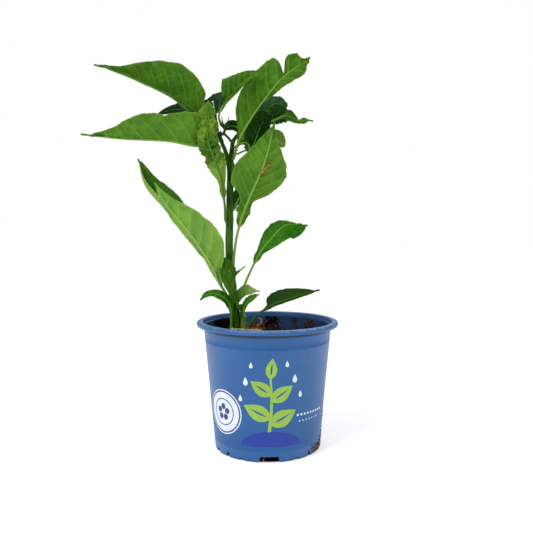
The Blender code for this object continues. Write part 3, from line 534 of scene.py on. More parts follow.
def ink_material(name):
    """A thin, slightly worn film of ink that lets a little of the wall's grain through."""
    material, tree, shader, place = start_material("ink_" + name, Specular_IOR_Level=0.4)
    shade = INK_COLOURS[name]
    patches = step(tree, grain(tree, place, 0.9, detail=6.0, roughness=0.7), 0.66, 0.74, 0.0, 0.6)
    tone = grain(tree, place, 0.15)
    base = mixed(tree, step(tree, tone, 0.3, 0.7), colour(*(v * 0.96 for v in shade)), colour(*shade))
    base = mixed(tree, patches, base, colour(*PLASTIC))
    dress(tree, shader, base, sums(tree, "MULTIPLY_ADD", tone, 0.15, 0.42),
          grain(tree, place, 2.2, detail=2.0), 0.03)
    return material


def stalk_middle(z):
    """How far the printed stalk has swayed to the right at a height."""
    middle, sway, turn = SEEDLING_SWAY
    return middle + sway * math.sin((z - SEEDLING_FOOT) / SEEDLING_HEIGHT * turn)


def seed_leaf(z, length, width, turn, start=0.0, share=1.0):
    """A leaf on the printed stalk, or the part of its middle that a vein takes up."""
    lean = math.radians(turn)
    return leaf_points(stalk_middle(z) + math.sin(lean) * length * start,
                       z + math.cos(lean) * length * start, length * share, width, turn)


def seed_stalk():
    heights = [SEEDLING_FOOT + SEEDLING_HEIGHT / SEEDLING_RUNS * i for i in range(SEEDLING_RUNS + 1)]
    widest, less = SEEDLING_WIDTHS
    return stripe_points([(stalk_middle(z), z) for z in heights],
                         [widest - less * i for i in range(SEEDLING_RUNS + 1)])


def seal_ring(outer, inner, count):
    """A thin ring, with both its edges so far in from the seal's rim."""
    return [arc_points(*SEAL_MIDDLE, SEAL_RADIUS - edge, count=count) for edge in (outer, inner)]


def petal(turn):
    x, z = SEAL_MIDDLE
    return arc_points(x + PETAL_CIRCLE * math.sin(turn), z + PETAL_CIRCLE * math.cos(turn), PETAL_RADIUS,
                      count=24)


vein_width, vein_start, vein_share = SEED_VEIN
PRINTS = {
    "lime": [[seed_stalk()], *[[seed_leaf(*leaf)] for leaf in SEED_LEAVES]],
    "deep_blue": [[arc_points(*HILL)], *[[seed_leaf(z, length, vein_width, turn, vein_start, vein_share)]
                                         for z, length, width, turn in SEED_LEAVES]],
    "white": [*[[drop_points(*drop)] for drop in DROPS],
              [arc_points(*SEAL_MIDDLE, SEAL_RADIUS, count=72)],
              *[[arc_points(x + RULE_STEP * i, z, radius, count=count)]
                for (x, z), dots, radius, count in RULES for i in range(dots)]],
    "purple": [*[seal_ring(*line) for line in SEAL_LINES],
               *[[petal(2 * math.pi * i / PETALS)] for i in range(PETALS)]],
}
for layer, (ink, outlines) in enumerate(PRINTS.items()):
    film = add_piece("print_" + ink, ink_mesh("print_" + ink, outlines, layer), ink_material(ink))
    belongs(film, "pot_plastic")


# ---- Peat --------------------------------------------------------------------------------------
# Dark brown potting peat, pressed in by hand: heaped round the stem, lower by the wall, with two
# clods stuck high on the wall behind. Loose crumbs lie on it, and more of them cling to the inside
# of the wall, to the rim and to the right of the pot's foot.

PEAT_LEVEL = 86.0
HEAP = (-15.0, 0.0, 13.0, 25.0)            # middle x and y, rise, spread
CLODS = ((5.0, 43.0, 12.0, 7.0), (-34.0, 36.0, 9.0, 8.0))
PEAT_CRUMB = (0.9, 7.0)    # height and breadth of the peat's unevenness
PEAT_GRIT = ((0.7, 2.6), (0.35, 1.1))      # and of its lumps and grit
PEAT_GAP = 0.3
BIT_DENTS = 0.9            # dents per millimetre in a loose bit, and their depth
BIT_DENT = 0.9
PEAT_RINGS = 84
PEAT_STEPS = 260
# Dark, light and flecks of each kind of earth.
EARTH_TINTS = {
    "peat": ((16, 10, 7), (62, 40, 25), (120, 84, 52)),
    "peat_crumb": ((22, 13, 8), (72, 44, 25), (140, 104, 66)),
    "peat_splash": ((60, 34, 16), (146, 90, 44), (190, 136, 78)),
    "peat_clod": ((6, 4, 3), (30, 19, 12), (60, 42, 28)),
    "peat_tan_bits": ((184, 144, 90), (234, 202, 146), (250, 232, 192)),
}
# Turn, height and half sizes of the smears of dried peat on the wall, and of the near-black patches.
SPLASHES = ((42.0, 99.0, 7.0, 8.0), (61.0, 99.5, 4.0, 6.5), (77.0, 101.0, 3.0, 3.5), (100.0, 94.0, 9.0, 4.5))
DARK_SPLASHES = ((86.0, 96.5, 7.0, 6.5), (140.0, 98.5, 13.0, 9.0))
SPLASH_TURNS = (28.0, 160.0)
SPLASH_RISE = (90.0, 107.0)
# Dry crumbs spilled on the rim, and stuck at the foot: first and last turn from the front.
RIM_SPILL = (-30.0, -4.0)
RIM_SPILL_REACH = (0.6, 1.6)               # how far out they start, and how wide they lie
FOOT_SPILL = (50.0, 104.0)
FOOT_SPILL_RISE = (0.8, 30.0)
FOOT_HEAP = (78.0, 20.0, 3.4)              # middle turn and spread, and the rise over which it thins
FOOT_TRAIL = (92.0, 6.0, 0.07)             # middle turn, spread and share of the trail up the wall
STEM_LITTER = (-8.0, -3.0, 15.0)           # middle x and y, and spread, of the pale bits on the heap


def peat_height(x, y):
    crumb, breadth = PEAT_CRUMB
    height = PEAT_LEVEL + crumb * noise(Vector((x / breadth, y / breadth, 0)))
    for middle_x, middle_y, rise, spread in (HEAP, *CLODS):
        height += rise * math.exp(-((x - middle_x) ** 2 + (y - middle_y) ** 2) / spread ** 2)
    return height


def grit_height(x, y):
    """The peat's level with the lumps and the grit that its surface shows."""
    height = peat_height(x, y)
    for rise, breadth in PEAT_GRIT:
        height += rise * (abs(noise(Vector((x / breadth, y / breadth, 7)))) * 2 - 0.6)
    return height


def peat_mesh():
    """A closed body: the uneven top, the wall that the pot gives it, and a flat bottom."""
    bm = bmesh.new()
    bottom = FLOOR_TOP + PEAT_GAP
    edge = inner_radius(PEAT_LEVEL) - PEAT_GAP
    turns = [2 * math.pi * i / PEAT_STEPS for i in range(PEAT_STEPS)]
    rows = []
    for ring in range(1, PEAT_RINGS + 1):
        radius = edge * ring / PEAT_RINGS
        rows.append([bm.verts.new((radius * math.cos(a), radius * math.sin(a),
                                   grit_height(radius * math.cos(a), radius * math.sin(a)))) for a in turns])
    corner = inner_radius(CORNER_HEIGHT) - PEAT_GAP
    for radius, z in ((corner, CORNER_HEIGHT + PEAT_GAP), (corner - CORNER_SLOPE, bottom)):
        rows.append([bm.verts.new((radius * math.cos(a), radius * math.sin(a), z)) for a in turns])
    for one, two in zip(rows, rows[1:]):
        for i in range(PEAT_STEPS):
            bm.faces.new((one[i - 1], two[i - 1], two[i], one[i]))
    top = bm.verts.new((0, 0, grit_height(0, 0)))
    low = bm.verts.new((0, 0, bottom))
    for i in range(PEAT_STEPS):
        bm.faces.new((top, rows[0][i - 1], rows[0][i]))
        bm.faces.new((low, rows[-1][i], rows[-1][i - 1]))
    return in_place("peat_bed", bm)


def earth_material(name, dark, light, fleck):
    """Matt, crumbly and mottled, with a few paler flecks."""
    material, tree, shader, place = start_material(name, Specular_IOR_Level=0.15)
    lumps = grain(tree, place, 0.35, detail=6.0, roughness=0.65)
    base = mixed(tree, step(tree, lumps, 0.35, 0.7), colour(*dark), colour(*light))
    flecks = step(tree, grain(tree, place, 1.6, detail=2.0), 0.66, 0.74)
    base = mixed(tree, flecks, base, colour(*fleck))
    rough = sums(tree, "MULTIPLY_ADD", lumps, -0.2, 1.0)
    dress(tree, shader, base, rough, grain(tree, place, 1.4, detail=6.0, roughness=0.7), 0.7)
    return material


def bits_tree():
    """Loose bits scattered over a surface, more of them where its `room` is higher."""
    tree, given = start_shape("scattered_bits", {
        "Density": "Float", "Smallest": "Vector", "Largest": "Vector", "Faces": "Int", "Lift": "Float",
        "Seed": "Int"})
    room = wire(tree, "GeometryNodeInputNamedAttribute", {"Name": "room"}, data_type="FLOAT").outputs[0]
    density = times(tree, given["Density"], room)
    spread = wire(tree, "GeometryNodeDistributePointsOnFaces",
                  {"Mesh": given["Geometry"], "Density": density, "Seed": given["Seed"]}).outputs
    bit = wire(tree, "GeometryNodeMeshIcoSphere", {"Radius": MM, "Subdivisions": given["Faces"]}).outputs[0]
    spin = wire(tree, "FunctionNodeRandomValue", {0: (0, 0, 0), 1: (6.3, 6.3, 6.3), 8: given["Seed"]},
                data_type="FLOAT_VECTOR").outputs[0]
    size = wire(tree, "FunctionNodeRandomValue", {0: given["Smallest"], 1: given["Largest"],
                                                  8: given["Seed"]}, data_type="FLOAT_VECTOR").outputs[0]
    copies = wire(tree, "GeometryNodeInstanceOnPoints", {
        "Points": spread["Points"], "Instance": bit, "Scale": size,
        "Rotation": wire(tree, "FunctionNodeEulerToRotation", {0: spin}).outputs[0]}).outputs[0]
    solid = wire(tree, "GeometryNodeRealizeInstances", {0: copies}).outputs[0]
    place = wire(tree, "GeometryNodeInputPosition").outputs[0]
    dent = wire(tree, "ShaderNodeTexNoise", {"Vector": place, "Scale": BIT_DENTS / MM}).outputs["Color"]
    dent = vectors(tree, "SUBTRACT", {0: dent, 1: (0.5, 0.5, 0.5)})
    dent = vectors(tree, "SCALE", {0: dent, "Scale": BIT_DENT * MM})
    moved = wire(tree, "GeometryNodeSetPosition", {"Geometry": solid, "Offset": dent}).outputs[0]
    lift = wire(tree, "ShaderNodeCombineXYZ", {"Z": given["Lift"]}).outputs[0]
    moved = wire(tree, "GeometryNodeSetPosition", {"Geometry": moved, "Offset": lift}).outputs[0]
    end_shape(tree, given, moved)
    return tree


def bed_patch(name, rows, columns, spot, room):
    """A grid of places over which bits are strewn, each with its share of room for them."""
    verts = [spot(i / rows, j / columns) for i in range(rows + 1) for j in range(columns + 1)]
    faces = [(i * (columns + 1) + j, i * (columns + 1) + j + 1, (i + 1) * (columns + 1) + j + 1,
              (i + 1) * (columns + 1) + j) for i in range(rows) for j in range(columns)]
    mesh = bpy.data.meshes.new(name)
    mesh.from_pydata(real(verts).tolist(), [], faces)
    share = mesh.attributes.new("room", "FLOAT", "POINT")
    share.data.foreach_set("value", [room(*vert) for vert in verts])
    return mesh


def on_the_peat(out, around):
    """The whole of the peat's top, but for a narrow strip at the wall."""
    radius = (inner_radius(PEAT_LEVEL) - 1.5) * max(out, 0.01)
    x, y = radius * math.cos(2 * math.pi * around), radius * math.sin(2 * math.pi * around)
    return x, y, grit_height(x, y)


def on_the_wall(up, around):
    """The inside of the wall above the peat, at the back and the right."""
    z = SPLASH_RISE[0] + (SPLASH_RISE[1] - SPLASH_RISE[0] - LIP_DEPTH) * up
    turn = math.radians(SPLASH_TURNS[0] + (SPLASH_TURNS[1] - SPLASH_TURNS[0]) * around)
    radius = inner_radius(z) - 0.3
    return radius * math.cos(turn), radius * math.sin(turn), z


def on_the_rim(out, along):
    """The inner edge of the rim in front of the stem, where crumbs were spilled."""
    turn = math.radians(RIM_SPILL[0] + (RIM_SPILL[1] - RIM_SPILL[0]) * along)
    radius = MOUTH_RADIUS + RIM_SPILL_REACH[0] + RIM_SPILL_REACH[1] * out
    return radius * math.sin(turn), -radius * math.cos(turn), POT_HEIGHT + 0.1


def on_the_foot(up, along):
    """The outside of the wall at the right of the foot, where dry peat has stuck."""
    turn = math.radians(FOOT_SPILL[0] + (FOOT_SPILL[1] - FOOT_SPILL[0]) * along)
    z = FOOT_SPILL_RISE[0] + (FOOT_SPILL_RISE[1] - FOOT_SPILL_RISE[0]) * up
    radius = outer_radius(z) + 0.2
    return radius * math.sin(turn), -radius * math.cos(turn), z


def at_the_foot(x, y, z):
    """Most of it low down, and a thin trail up the wall at the far right."""
    turn = math.degrees(math.atan2(x, -y))
    middle, spread, rise = FOOT_HEAP
    heap = math.exp(-((turn - middle) / spread) ** 2) * math.exp(-z / rise)
    middle, spread, share = FOOT_TRAIL
    return heap + share * math.exp(-((turn - middle) / spread) ** 2)


def splash(x, y, z, smears=SPLASHES):
    """How much peat sticks to the wall at a place."""
    turn = math.degrees(math.atan2(y, x))
    return max(math.exp(-((turn - at) / wide) ** 4 - ((z - rise) / tall) ** 4)
               for at, rise, wide, tall in smears) ** 2


def round_the_stem(x, y, z):
    """Most of it on the heap at the stem's foot."""
    middle_x, middle_y, spread = STEM_LITTER
    return math.exp(-((x - middle_x) ** 2 + (y - middle_y) ** 2) / spread ** 2)


def everywhere(x, y, z):
    return 1.0


earths = {name: earth_material(name, *tints) for name, tints in EARTH_TINTS.items()}
belongs(add_piece("peat_bed", peat_mesh(), earths["peat"], sharp=180), "peat", "peat")

bits = bits_tree()
whole_bed = bed_patch("whole_bed", 40, 90, on_the_peat, everywhere)
heap_bed = bed_patch("heap_bed", 40, 90, on_the_peat, round_the_stem)
wall_bed = bed_patch("wall_bed", 24, 120, on_the_wall, splash)
clod_bed = bed_patch("clod_bed", 24, 120, on_the_wall, lambda x, y, z: splash(x, y, z, DARK_SPLASHES))
rim_bed = bed_patch("rim_bed", 4, 40, on_the_rim, everywhere)
foot_bed = bed_patch("foot_bed", 30, 40, on_the_foot, at_the_foot)
# For each: bits on a square metre, smallest and largest size, roundness, lift and seed.
for name, bed, earth, density, smallest, largest, faces, lift, seed in (
    ("peat_crumbs", whole_bed, "peat_crumb", 0.34e6, (0.3, 0.3, 0.25), (1.1, 0.9, 0.8), 1, 0.0, 3),
    ("peat_lumps", whole_bed, "peat_crumb", 0.03e6, (0.8, 0.8, 0.7), (2.4, 1.9, 1.4), 2, 0.0, 5),
    ("peat_tan_bits", heap_bed, "peat_tan_bits", 0.75e6, (0.3, 0.25, 0.15), (1.5, 0.8, 0.4), 1, 0.4, 7),
    ("peat_fibres", whole_bed, "peat_tan_bits", 0.03e6, (1.2, 0.1, 0.1), (3.4, 0.22, 0.16), 1, 0.4, 9),
    ("wall_splashes", wall_bed, "peat_splash", 1.5e6, (0.2, 0.2, 0.2), (0.9, 0.7, 0.7), 1, 0.0, 11),
    ("wall_clods", clod_bed, "peat_clod", 1.6e6, (0.4, 0.4, 0.4), (1.5, 1.2, 1.2), 1, 0.0, 12),
    ("rim_crumbs", rim_bed, "peat_tan_bits", 1.2e6, (0.4, 0.3, 0.25), (1.3, 0.8, 0.6), 1, 0.0, 13),
    ("foot_crumbs", foot_bed, "peat_splash", 2.2e6, (0.25, 0.25, 0.25), (0.9, 0.8, 0.7), 1, 0.0, 15),
    ("foot_sand", foot_bed, "peat_tan_bits", 1.2e6, (0.2, 0.2, 0.2), (0.7, 0.5, 0.5), 1, 0.0, 17),
):
    loose = shaped(name, bed, bits, Density=density, Smallest=smallest, Largest=largest, Faces=faces,
                   Lift=lift * MM, Seed=seed, Material=earths[earth])
    belongs(add_piece(name, loose, earths[earth], sharp=25), "peat")


# ---- Roots and litter --------------------------------------------------------------------------
# The pale taproot and its side roots run through the peat; one thin end has grown out of a drain
# hole. Five splinters of pine bark and a dry, curled scrap of leaf stalk lie on the heap.

ROOT_TINTS = ((196, 160, 112), (120, 84, 50))
CURL_TINTS = ((232, 190, 36), (132, 96, 28))
BARK_TINTS = ((84, 52, 28), (150, 104, 62), (204, 168, 120))
BARK_CHIPS = 5
CURL_RIB = ((-8, 6, 97.6), (-9, 6, 100.5), (-6, 5.5, 103), (-5.5, 7, 106), (-8.5, 8, 107.5))
CURL_RADII = (1.0, 1.1, 1.0, 0.8, 0.4)
ROOT_END_RIB = ((-0.5, -34, 7.2), (-1.2, -35, 5.4), (-2.4, -39, 3.8), (-3.2, -43.3, 1.0))
ROOT_END_RADII = (0.7, 0.7, 0.7, 0.4)
SPAN_STEPS = 24            # short straight runs between two points of a smooth curve
PATH_STEP = 0.8            # millimetres between the rings of a tube
RIDGE_SQUASH = 0.07        # a tube's ridges run lengthwise, so they change this slowly upwards


def spline_point(before, start, end, after, share):
    """A point between start and end on the centripetal Catmull-Rom curve through all four."""
    one = (start - before).length ** 0.5
    two = one + (end - start).length ** 0.5
    three = two + (after - end).length ** 0.5
    now = one + (two - one) * share
    near = before.lerp(start, now / one)
    middle = start.lerp(end, (now - one) / (two - one))
    far = end.lerp(after, (now - two) / (three - two))
    near = near.lerp(middle, now / two)
    far = middle.lerp(far, (now - one) / (three - one))
    return near.lerp(far, (now - one) / (two - one))


def smooth_path(points):
    """Each point's share of a smooth curve's length, a reader of the curve, and its length."""
    knots = [Vector(p) for p in points]
    knots = [knots[0] * 2 - knots[1], *knots, knots[-1] * 2 - knots[-2]]
    fine = []
    for i in range(len(knots) - 3):
        fine += [spline_point(*knots[i:i + 4], j / SPAN_STEPS) for j in range(SPAN_STEPS)]
    fine.append(knots[-2])
    lengths = [0.0]
    for one, two in zip(fine, fine[1:]):
        lengths.append(lengths[-1] + (two - one).length)
    marks = [lengths[i * SPAN_STEPS] / lengths[-1] for i in range(len(points))]

    def at(share):
        goal = min(max(share, 0.0), 1.0) * lengths[-1]
        i = min(bisect.bisect_left(lengths, goal, 1), len(fine) - 1)
        return fine[i - 1].lerp(fine[i], (goal - lengths[i - 1]) / (lengths[i] - lengths[i - 1]))

    return marks, at, lengths[-1]


def tube_tree():
    """A round skin along curves whose points carry its radius, ridged lengthwise where asked."""
    tree, given = start_shape("skin_along_paths", {"Sides": "Int", "Ridge": "Float", "Seed": "Float"})
    ring = wire(tree, "GeometryNodeCurvePrimitiveCircle", {"Resolution": given["Sides"], 4: 1.0}).outputs[0]
    radius = wire(tree, "GeometryNodeInputRadius").outputs[0]
    skin = wire(tree, "GeometryNodeCurveToMesh", {"Curve": given["Geometry"], "Profile Curve": ring,
                                                  "Scale": radius, "Fill Caps": True}).outputs[0]
    place = wire(tree, "GeometryNodeInputPosition").outputs[0]
    place = vectors(tree, "MULTIPLY", {0: place, 1: (1 / MM, 1 / MM, RIDGE_SQUASH / MM)})
    rough = wire(tree, "ShaderNodeTexNoise", {"Vector": place, "W": given["Seed"], "Scale": 0.7},
                 noise_dimensions="4D").outputs[0]
    height = times(tree, sums(tree, "SUBTRACT", rough, 0.5), given["Ridge"])
    normal = wire(tree, "GeometryNodeInputNormal").outputs[0]
    push = vectors(tree, "SCALE", {0: normal, "Scale": height})
    skin = wire(tree, "GeometryNodeSetPosition", {"Geometry": skin, "Offset": push}).outputs[0]
    end_shape(tree, given, skin)
    return tree


tubes = tube_tree()


def path_curves(name, paths):
    """One curve object's data, with a spline for each path of points and radii."""
    data = bpy.data.curves.new(name, "CURVE")
    data.dimensions = "3D"
    for points, radii, swellings in paths:
        marks, at, length = smooth_path(points)
        count = max(8, round(length / PATH_STEP))
        spline = data.splines.new("POLY")
        spline.points.add(count)
        for i, point in enumerate(spline.points):
            share = i / count
            place = at(share)
            radius = float(np.interp(share, marks, radii))
            for z, more, spread in swellings:
                radius += more * math.exp(-((place.z - z) / spread) ** 2)
            point.co = (*real(place), 1.0)
            point.radius = radius * MM
    return data


def tube_mesh(name, paths, material, sides=16, ridge=0.0, seed=0.0):
    return shaped(name, path_curves(name, paths), tubes, Sides=sides, Ridge=ridge * MM, Seed=seed,
                  Material=material)


def fibre_material(name, tint, dark):
    """Dry plant fibre with lengthwise streaks."""
    material, tree, shader, place = start_material(name, Specular_IOR_Level=0.15)
    streaks = grain(tree, place, 1.1, detail=4.0, stretch=(1, 1, 0.25))
    base = mixed(tree, step(tree, streaks, 0.35, 0.7), colour(*dark), colour(*tint))
    dress(tree, shader, base, sums(tree, "MULTIPLY_ADD", streaks, -0.3, 0.95), streaks, 0.25)
    return material


def chip_mesh(node, seed):
    """A bark splinter: the plain one, divided and roughened into layers."""
    bm = bmesh.new()
    bm.from_mesh(bpy.data.objects[node].data)
    bmesh.ops.remove_doubles(bm, verts=bm.verts, dist=0.01 * MM)
    bmesh.ops.subdivide_edges(bm, edges=bm.edges, cuts=5, use_grid_fill=True, smooth=0.15)
    for vert in bm.verts:
        place = vert.co / MM
        layers = noise(Vector((place.x * 0.5, place.y * 0.5, place.z * 3.2 + seed)))
        lumps = noise(Vector((place.x * 1.3, place.y * 1.3, place.z + seed * 5)))
        vert.co += vert.normal * ((layers * 0.3 + lumps * 0.25) * MM)
    return mesh_of(f"{node}_rough", bm)


root_finish = fibre_material("root", *ROOT_TINTS)
curl_finish = fibre_material("straw", *CURL_TINTS)
bark_finish = earth_material("bark", *BARK_TINTS)
roots = bpy.data.objects["roots"]
for slot in roots.material_slots:
    slot.material = root_finish
for number in range(1, BARK_CHIPS + 1):
    node = f"bark_chip_{number}"
    chip = add_piece(f"bark_splinter_{number}", chip_mesh(node, number), bark_finish, sharp=30)
    belongs(chip, "bark", node)
curl = add_piece("curled_scrap", tube_mesh("curled_scrap", [(CURL_RIB, CURL_RADII, ())], curl_finish,
                                           sides=12, ridge=0.7), curl_finish)
belongs(curl, "straw", "dry_curl")
tail = add_piece("root_tail", tube_mesh("root_tail", [(ROOT_END_RIB, ROOT_END_RADII, ())], root_finish,
                                        sides=10, ridge=0.4), root_finish)
belongs(tail, "straw", "root_end")


# ---- Stem --------------------------------------------------------------------------------------
# One green stem, ridged lengthwise and swollen where a leaf stalk leaves it. It forks in the crown
# into two branches, and one of those carries a short flowering twig. A second, paler shoot rises
# beside its foot.

STEM_RIB = ((-26.0, -2.0, 91.0), (-27, -2, 111), (-28.5, -2, 124), (-32, 0, 158), (-32, 0, 192),
            (-31, 1, 240))
STEM_RADII = (4.4, 4.0, 3.7, 3.3, 3.1, 2.8)
STEM_NODES = ((126, 0.55, 3.0), (137, 0.4, 2.5), (156, 0.5, 3.0), (192, 0.45, 3.0), (237, 0.5, 4.0))
LEFT_BRANCH_RIB = ((-31.6, 0.8, 233), (-34.5, -1, 247), (-38, -3, 256), (-42, -5, 268), (-43, -6, 281))
LEFT_BRANCH_RADII = (2.0, 1.8, 1.6, 1.4, 1.0)
LEFT_BRANCH_NODES = ((258, 0.4, 2.0), (271, 0.4, 2.0))
RIGHT_BRANCH_RIB = ((-30.4, 1.2, 233), (-30, 4, 251), (-29, 8, 259), (-24, 14, 266), (-13, 21, 273))
RIGHT_BRANCH_RADII = (2.1, 1.9, 1.7, 1.5, 1.1)
RIGHT_BRANCH_NODES = ((247, 0.4, 2.0), (266, 0.4, 2.0))
TWIG_RIB = ((-29.3, 7.0, 257), (-33.5, 2, 261.5), (-37, -1.5, 264.5))
TWIG_RADII = (1.3, 1.1, 1.0)
STUB_RIB = ((-30.0, 1.0, 249.6), (-27.4, -0.6, 250.2), (-25.0, -1.6, 250.0))
STUB_RADII = (0.9, 0.6, 0.5)
SHOOT_RIB = ((-20.2, -5, 91.5), (-20, -5, 108), (-22.4, -6, 121))
SHOOT_RADII = (3.1, 2.6, 1.5)
SHOOT_NODES = ((103, 0.3, 2.0), (111, 0.3, 2.0), (119.5, 0.3, 1.5))
SKIN_CELL = 0.36           # size of the cells that blend one branch into another
# Dark and light streaks, the tint near the peat, and how strongly it shows.
STEM_TINTS = ((14, 48, 4), (66, 112, 24), (12, 34, 6), 0.65)
SHOOT_TINTS = ((28, 64, 12), (88, 132, 48), (122, 130, 66), 0.5)
STEM_FOOT = (122.0, 102.0)                       # heights between which that tint comes in
STEM_PORE = (128, 150, 84)


def blended(name, mesh, cell, rounds):
    """Tubes that run into each other made one skin, with its corners eased."""
    carrier = linked(name, mesh)
    remesh = carrier.modifiers.new("one_skin", "REMESH")
    remesh.mode = "VOXEL"
    remesh.voxel_size = cell * MM
    ease = carrier.modifiers.new("ease", "SMOOTH")
    ease.factor = 0.5
    ease.iterations = rounds
    return baked(name, carrier)


def stem_material(name, dark, light, foot_tint, foot_share):
    """Smooth green skin, streaked along its length, with another tint near the peat."""
    material, tree, shader, place = start_material(name, Specular_IOR_Level=0.12)
    streaks = grain(tree, place, 0.9, detail=3.0, stretch=(1, 1, 0.05))
    tone = grain(tree, place, 0.06, detail=2.0)
    share = plus(tree, streaks, sums(tree, "MULTIPLY_ADD", tone, 0.5, -0.25))
    base = mixed(tree, step(tree, share, 0.35, 0.65), colour(*dark), colour(*light))
    height = wire(tree, "ShaderNodeSeparateXYZ", {0: place}).outputs["Z"]
    foot = step(tree, sums(tree, "MULTIPLY_ADD", tone, 12.0, height), *STEM_FOOT, 0.0, foot_share)
    base = mixed(tree, foot, base, colour(*foot_tint))
    pores = step(tree, grain(tree, place, 0.9, detail=3.0), 0.62, 0.7, 0.0, 0.5)
    base = mixed(tree, pores, base, colour(*STEM_PORE))
    rough = sums(tree, "MULTIPLY_ADD", streaks, 0.2, 0.32)
    dress(tree, shader, base, rough, streaks, 0.22)
    return material


stem_finish = stem_material("stem", *STEM_TINTS)
shoot_finish = stem_material("shoot", *SHOOT_TINTS)
branches = tube_mesh("branches", [
    (STEM_RIB, STEM_RADII, STEM_NODES),
    (LEFT_BRANCH_RIB, LEFT_BRANCH_RADII, LEFT_BRANCH_NODES),
    (RIGHT_BRANCH_RIB, RIGHT_BRANCH_RADII, RIGHT_BRANCH_NODES),
    (TWIG_RIB, TWIG_RADII, ()),
    (STUB_RIB, STUB_RADII, ()),
], None, sides=28, ridge=1.3, seed=1.0)
stem = add_piece("stem_skin", blended("stem_skin", branches, SKIN_CELL, 4), stem_finish, sharp=180)
belongs(stem, "stem", "main_stem")
shoot = add_piece("shoot_skin", blended("shoot_skin", tube_mesh(
    "shoot_tube", [(SHOOT_RIB, SHOOT_RADII, SHOOT_NODES)], None, sides=24, ridge=1.0, seed=2.0),
    SKIN_CELL, 3), shoot_finish, sharp=180)
belongs(shoot, "stem", "basal_shoot")


# ---- Leaves ------------------------------------------------------------------------------------
# Each leaf and its stalk are one growth: a round, grooved stalk that flattens into a folded blade
# with a keel beneath, side veins that run up to the margin, and soft bulges between them. The
# crown's youngest leaves are crumpled, and three have old feeding scars.

# rib runs from the leaf's foot in its carrier to its tip, and its point number stalk is where the
# blade starts. width is half the blade, face points out of the upper side, fold lifts both halves,
# even says where an even blade is widest and how sharp its tip is, wave is the margin's ripple,
# stem is the stalk's radius, curl bends the halves further, and twist turns the blade on its rib.
LEAF_FIELDS = "name carrier rib stalk width face fold even wave stem curl twist"
Leaf = namedtuple("Leaf", LEAF_FIELDS, defaults=(0, 0))

